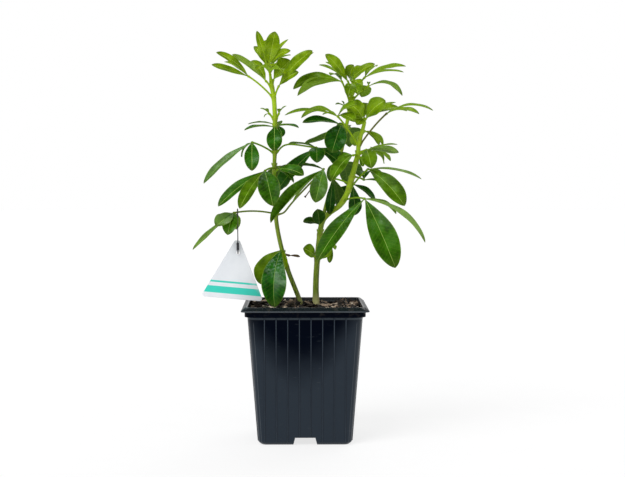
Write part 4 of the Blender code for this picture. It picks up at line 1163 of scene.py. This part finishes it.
def foot_arm(turns):
    """The cutter between two feet, from the middle boss outwards, a little narrower at its top."""
    wide = FOOT_GAP / 2
    reach = BODY_BOTTOM_HALF + 4
    rings = []
    for z, near, far in ((-1.0, wide, wide + 0.8), (FOOT_HEIGHT, wide - 1, wide - 1)):
        plan = [(BOSS_RADIUS, -near), (reach, -far), (reach, far), (BOSS_RADIUS, near)]
        rings.append([(x, y, z) for x, y in plan])
    return lofted(quarter_turned(np.array(rings), turns))


def drain_cutter(turns):
    """An upright cylinder through the floor."""
    path = np.array([(DRAIN_REACH, 0, FOOT_HEIGHT - 1), (DRAIN_REACH, 0, FLOOR_TOP + 1)], float)
    return swept(quarter_turned(path, turns), [DRAIN_RADIUS] * 2, DRAIN_SIDES, BACK)


def cut_away(body, skin):
    """Cuts a closed skin from the body with a Boolean, and removes the cutter."""
    cutter = placed("cutter", skin.mesh("cutter"))
    modifier = body.modifiers.new("cut", "BOOLEAN")
    modifier.operation = "DIFFERENCE"
    modifier.solver = "EXACT"
    modifier.object = cutter
    graph = bpy.context.evaluated_depsgraph_get()
    cut = bpy.data.meshes.new_from_object(body.evaluated_get(graph))
    body.modifiers.clear()
    body.data = cut
    bpy.data.objects.remove(cutter, do_unlink=True)


def rib_skin(offset, turns):
    """An upright bar half sunk in the tapered side, with a rounded front, as three rings of seven points.

    One that stands over a notch between the feet starts at the notch's top.
    """
    foot = FOOT_HEIGHT + 0.1 if abs(offset) < FOOT_GAP / 2 else RIB_BOTTOM
    levels = np.array([[foot], [foot + 0.6], [COLLAR_BOTTOM + 0.4]])
    foot_sunk = np.array([[0.6], [0.0], [0.0]])
    y = -(wall_half(levels) + RIB_OUT - foot_sunk)
    x = offset + RIB_ACROSS * RIB_WIDTH / 2
    rings = np.stack(np.broadcast_arrays(x, y, levels), -1)
    return lofted(quarter_turned(rings[:, ::-1], turns), crest=RIB_CREST[::-1])


def build_pot(finish):
    shell = piece("pot_shell", [lofted(square_rings(pot_profile()))], finish, ["pot"])
    for turns in range(4):
        cut_away(shell, foot_arm(turns))
        cut_away(shell, drain_cutter(turns))
    shell.data.set_sharp_from_angle(angle=math.radians(POT_SHARP))
    offsets = (np.arange(RIB_COUNT) - (RIB_COUNT - 1) / 2) * RIB_PITCH
    ribs = [rib_skin(offset, turns) for turns in range(4) for offset in offsets]
    piece("pot_ribs", ribs, rib_finish(), [])


def soft_noise(x, y, cell, rng):
    """Smooth noise from 0 to 1: random numbers on a lattice, blended by 3 f² - 2 f³ between its points."""
    lattice = rng.random((64, 64))
    column, row = np.floor(x / cell), np.floor(y / cell)
    fx, fy = x / cell - column, y / cell - row
    fx, fy = fx * fx * (3 - 2 * fx), fy * fy * (3 - 2 * fy)
    i, j = column.astype(int) % 63, row.astype(int) % 63
    low = lattice[i, j] * (1 - fx) + lattice[i + 1, j] * fx
    high = lattice[i, j + 1] * (1 - fx) + lattice[i + 1, j + 1] * fx
    return low * (1 - fy) + high * fy


def soil_height(x, y):
    """The soil's level plus three sizes of smooth noise."""
    rng = np.random.default_rng(SOIL_SEED)
    relief = sum(share * (soft_noise(x + 60, y + 60, cell, rng) - 0.5) for share, cell in SOIL_NOISE)
    return SOIL_LEVEL + SOIL_RELIEF * relief


def soil_skin():
    """The pot's filling: up its wall, then squares that shrink to the middle, lifted by the relief.

    Each long straight side of the squares is split in equal parts.
    """
    wall = [(wall_half(FLOOR_TOP) - WALL - SOIL_GAP, FLOOR_TOP + SOIL_GAP, FOOT_RADIUS - WALL),
            (BODY_TOP_HALF - WALL - SOIL_GAP, COLLAR_BOTTOM, CORNER_RADIUS - 1.0)]
    share = np.linspace(1, 0.01, SOIL_RINGS)
    top = np.column_stack([share * (THROAT_HALF - SOIL_GAP), np.full(SOIL_RINGS, SOIL_LEVEL),
                           share * (RIM_RADIUS + 1.6)])
    corner_rings = square_rings(np.vstack([wall, top]))
    sides = np.roll(corner_rings, -1, axis=1) - corner_rings
    long_sides = np.linalg.norm(sides, axis=-1).mean(0) > 10
    rings = [corner_rings[:, place] + sides[:, place] * part
             for place, is_long in enumerate(long_sides)
             for part in np.linspace(0, 1, SOIL_SIDE_PARTS if is_long else 1, endpoint=False)]
    rings = np.stack(rings, axis=1)
    rings[2:, :, 2] = soil_height(rings[2:, :, 0], rings[2:, :, 1])
    return lofted(rings)


def chip_skins():
    """Bark chips: flat boxes with three rings of six points, bent, turned and strewn over the soil.

    Each is a row of arrays: its ring is (length · along, width · cos a, thickness · sin a) with jitter,
    tilted by two small angles, turned about Z by any angle, and set on the soil's height.
    """
    rng = np.random.default_rng(SOIL_SEED + 1)
    short, long = CHIP_LENGTH
    length = short + (long - short) * rng.random(CHIP_COUNT) ** 2.2
    width = length * rng.uniform(*CHIP_WIDTH, CHIP_COUNT)
    thick = np.clip(length * rng.uniform(*CHIP_THICKNESS, CHIP_COUNT), *CHIP_THICKNESS_LIMITS)
    long_way, wide_way, thick_way = [row[:, None, None] for row in (length, width / 2, thick / 2)]
    angle = circle_angles(CHIP_SIDES, 0.5)
    along = np.array([-0.5, 0.05, 0.5])[:, None] * np.ones(CHIP_SIDES)
    narrow = np.array([0.55, 1.0, 0.5])[:, None]
    local = np.stack([
        long_way * along, wide_way * narrow * np.cos(angle), thick_way * narrow * np.sin(angle)], -1)
    local += rng.normal(0, CHIP_JITTER, local.shape) * long_way[..., None]
    pitch = rng.normal(0, CHIP_PITCH, CHIP_COUNT)
    roll = rng.normal(0, CHIP_ROLL, CHIP_COUNT)
    yaw = rng.uniform(0, 2 * math.pi, CHIP_COUNT)
    turn = turning(yaw, 2) @ turning(pitch, 1) @ turning(roll, 0)
    local = np.einsum("nij,nrkj->nrki", turn, local)
    spot = rng.uniform(-CHIP_REACH, CHIP_REACH, (CHIP_COUNT, 2))
    for axis in (LEFT_AXIS, RIGHT_AXIS):
        away = spot - np.array(axis[0][:2])
        far = np.linalg.norm(away, axis=1, keepdims=True)
        spot += away / far * np.maximum(0, BARE_REACH - far)
    lift = soil_height(spot[:, 0], spot[:, 1]) + thick * 0.35 + rng.uniform(0, CHIP_PILE, CHIP_COUNT)
    local += np.column_stack([spot, lift])[:, None, None]
    shade = rng.beta(0.9, 1.25, CHIP_COUNT)
    return [lofted(rings, shade=value) for rings, value in zip(local, shade)]


def build_soil():
    piece("soil_bed", [soil_skin()], soil_finish(), ["soil"])
    piece("soil_chips", chip_skins(), chip_finish(), [])


# Tag and wire


def rounded_outline(plan, radius, steps):
    """Points round a polygon whose corners give way to arcs of the radius, or less where a side is short."""
    plan = np.asarray(plan, float)
    points = []
    for before, corner, after in zip(np.roll(plan, 1, 0), plan, np.roll(plan, -1, 0)):
        back, on = unit(before - corner), unit(after - corner)
        half = math.acos(float(back @ on)) / 2
        shorter = min(np.linalg.norm(before - corner), np.linalg.norm(after - corner))
        here = min(radius, 0.45 * math.tan(half) * shorter)
        centre = corner + unit(back + on) * here / math.sin(half)
        first = corner + back * here / math.tan(half) - centre
        last = corner + on * here / math.tan(half) - centre
        start = math.atan2(first[1], first[0])
        sweep = (math.atan2(last[1], last[0]) - start + math.pi) % (2 * math.pi) - math.pi
        angle = start + sweep * np.linspace(0, 1, steps + 1)
        points.append(centre + here * np.column_stack([np.cos(angle), np.sin(angle)]))
    return np.concatenate(points)


def tag_skin():
    """The tag's plate with a softened edge: its outline at four depths, the outer two drawn in a little."""
    outline = rounded_outline(TAG_CORNERS, TAG_CORNER, 8)
    middle = outline.mean(0)
    half = TAG_THICKNESS / 2
    rings = []
    for depth, inset in ((half, 0.25), (half - 0.2, 0.0), (0.2 - half, 0.0), (-half, 0.25)):
        drawn = outline + unit(middle - outline) * inset
        rings.append(np.column_stack([drawn[:, 0], np.full(len(drawn), TAG_Y + depth), drawn[:, 1]]))
    return lofted(np.array(rings), printed=1.0)


def build_tag():
    tag = piece("tag_plate", [tag_skin()], tag_finish(), ["tag"])
    x, z = TAG_HOLE
    through = np.array([(x, TAG_Y - 2, z), (x, TAG_Y + 2, z)])
    cut_away(tag, swept(through, [TAG_HOLE_RADIUS] * 2, TAG_HOLE_SIDES, UP))
    tag.data.set_sharp_from_angle(angle=math.radians(TAG_SHARP))


def wire_path():
    """A hook through the tag's hole, a twist, up and over the leaf stalk, and down again into the twist."""
    x, z = TAG_HOLE
    front, back = TAG_Y - WIRE_FRONT, TAG_Y + WIRE_BACK
    hook = [(x, back, z + 3), (x, back, z + 0.6), (x, back - 0.7, z - 0.5),
            (x, front + 0.7, z - 0.5), (x, front, z + 0.6)]
    low, high = z + TWIST_FROM, z + TWIST_TO
    rise = np.linspace(0, 1, TWIST_TURNS * TWIST_STEPS + 1)
    turn = 2 * math.pi * TWIST_TURNS * rise
    strand = np.column_stack([x + TWIST_RADIUS * np.sin(turn), front - TWIST_RADIUS * np.cos(turn),
                              low + (high - low) * rise])
    other = (2 * x, 2 * front, 0) + strand * (-1, -1, 1)
    up = WIRE_HOOK_RADIUS * np.array(UP)
    angle = np.linspace(0, math.pi, 9)[:, None]
    bend = WIRE_OVER + np.cos(angle) * WIRE_HOOK_RADIUS * unit(WIRE_ACROSS) + np.sin(angle) * up
    bend = np.vstack([bend[0] - 2 * up, bend, bend[-1] - 2 * up])
    return np.vstack([hook, strand, [(x, front - 0.6, high + 3)], bend, [(x, front + 0.7, high + 5)],
                      other[::-1]])


def build_wire():
    path = curve(wire_path(), WIRE_STEP)
    skin = swept(path, np.full(len(path), WIRE_RADIUS), WIRE_SIDES, RIGHT)
    piece("tag_wire_twist", [skin], wire_finish(), ["tag_wire"])


# Stage


def add_floor():
    """A round floor far wider than the view, so that its edge never shows."""
    angle = circle_angles(FLOOR_SIDES)
    circle = np.column_stack([np.cos(angle), np.sin(angle), np.zeros(FLOOR_SIDES)]) * FLOOR_RADIUS
    mesh = bpy.data.meshes.new("floor")
    mesh.from_pydata(circle.tolist(), [], [list(range(FLOOR_SIDES))])
    mesh.materials.append(floor_finish())
    floor = placed("floor", mesh)


def add_lamp(name, azimuth, elevation, spread, strength):
    """A soft lamp far away, as wide as the spread in degrees. Azimuth 0 is in front and 90 at the right."""
    lamp = bpy.data.lights.new(name, "SUN")
    lamp.angle = math.radians(spread)
    lamp.energy = strength
    placed(name, lamp).rotation_euler = (math.radians(90 - elevation), 0.0, math.radians(azimuth))


def add_room():
    """A white room, with its walls lit more than its ceiling."""
    world = bpy.data.worlds.new("white_room")
    world.use_nodes = True
    room = Shading(world.node_tree)
    height = room.part("Z", room.node("TexCoord", "Generated", {}, {}))
    light = height.rising(0.5, 0.17) * (WALL_LIGHT - CEILING_LIGHT) + CEILING_LIGHT
    background = world.node_tree.nodes["Background"]
    room.feed(background, {"Color": (1.0, 1.0, 1.0, 1.0), "Strength": light})
    bpy.context.scene.world = world
    bpy.context.scene.view_settings.view_transform = "Standard"


def add_camera():
    data = bpy.data.cameras.new("camera")
    data.lens = LENS
    data.sensor_width = SENSOR_WIDTH
    data.clip_start = SEES_FROM
    data.clip_end = SEES_TO
    camera = placed("camera", data)
    camera.location = np.array(EYE) * MM
    camera.rotation_euler = (math.radians(90 - PITCH_DEGREES), 0.0, -math.radians(YAW_DEGREES))
    bpy.context.scene.camera = camera


def build_stage():
    add_floor()
    for lamp in LAMPS:
        add_lamp(*lamp)
    add_room()
    add_camera()


def main():
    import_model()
    build_pot(pot_finish())
    build_soil()
    build_stems(stem_finish())
    build_leaves(leaf_finish())
    build_tag()
    build_wire()
    build_stage()


main()
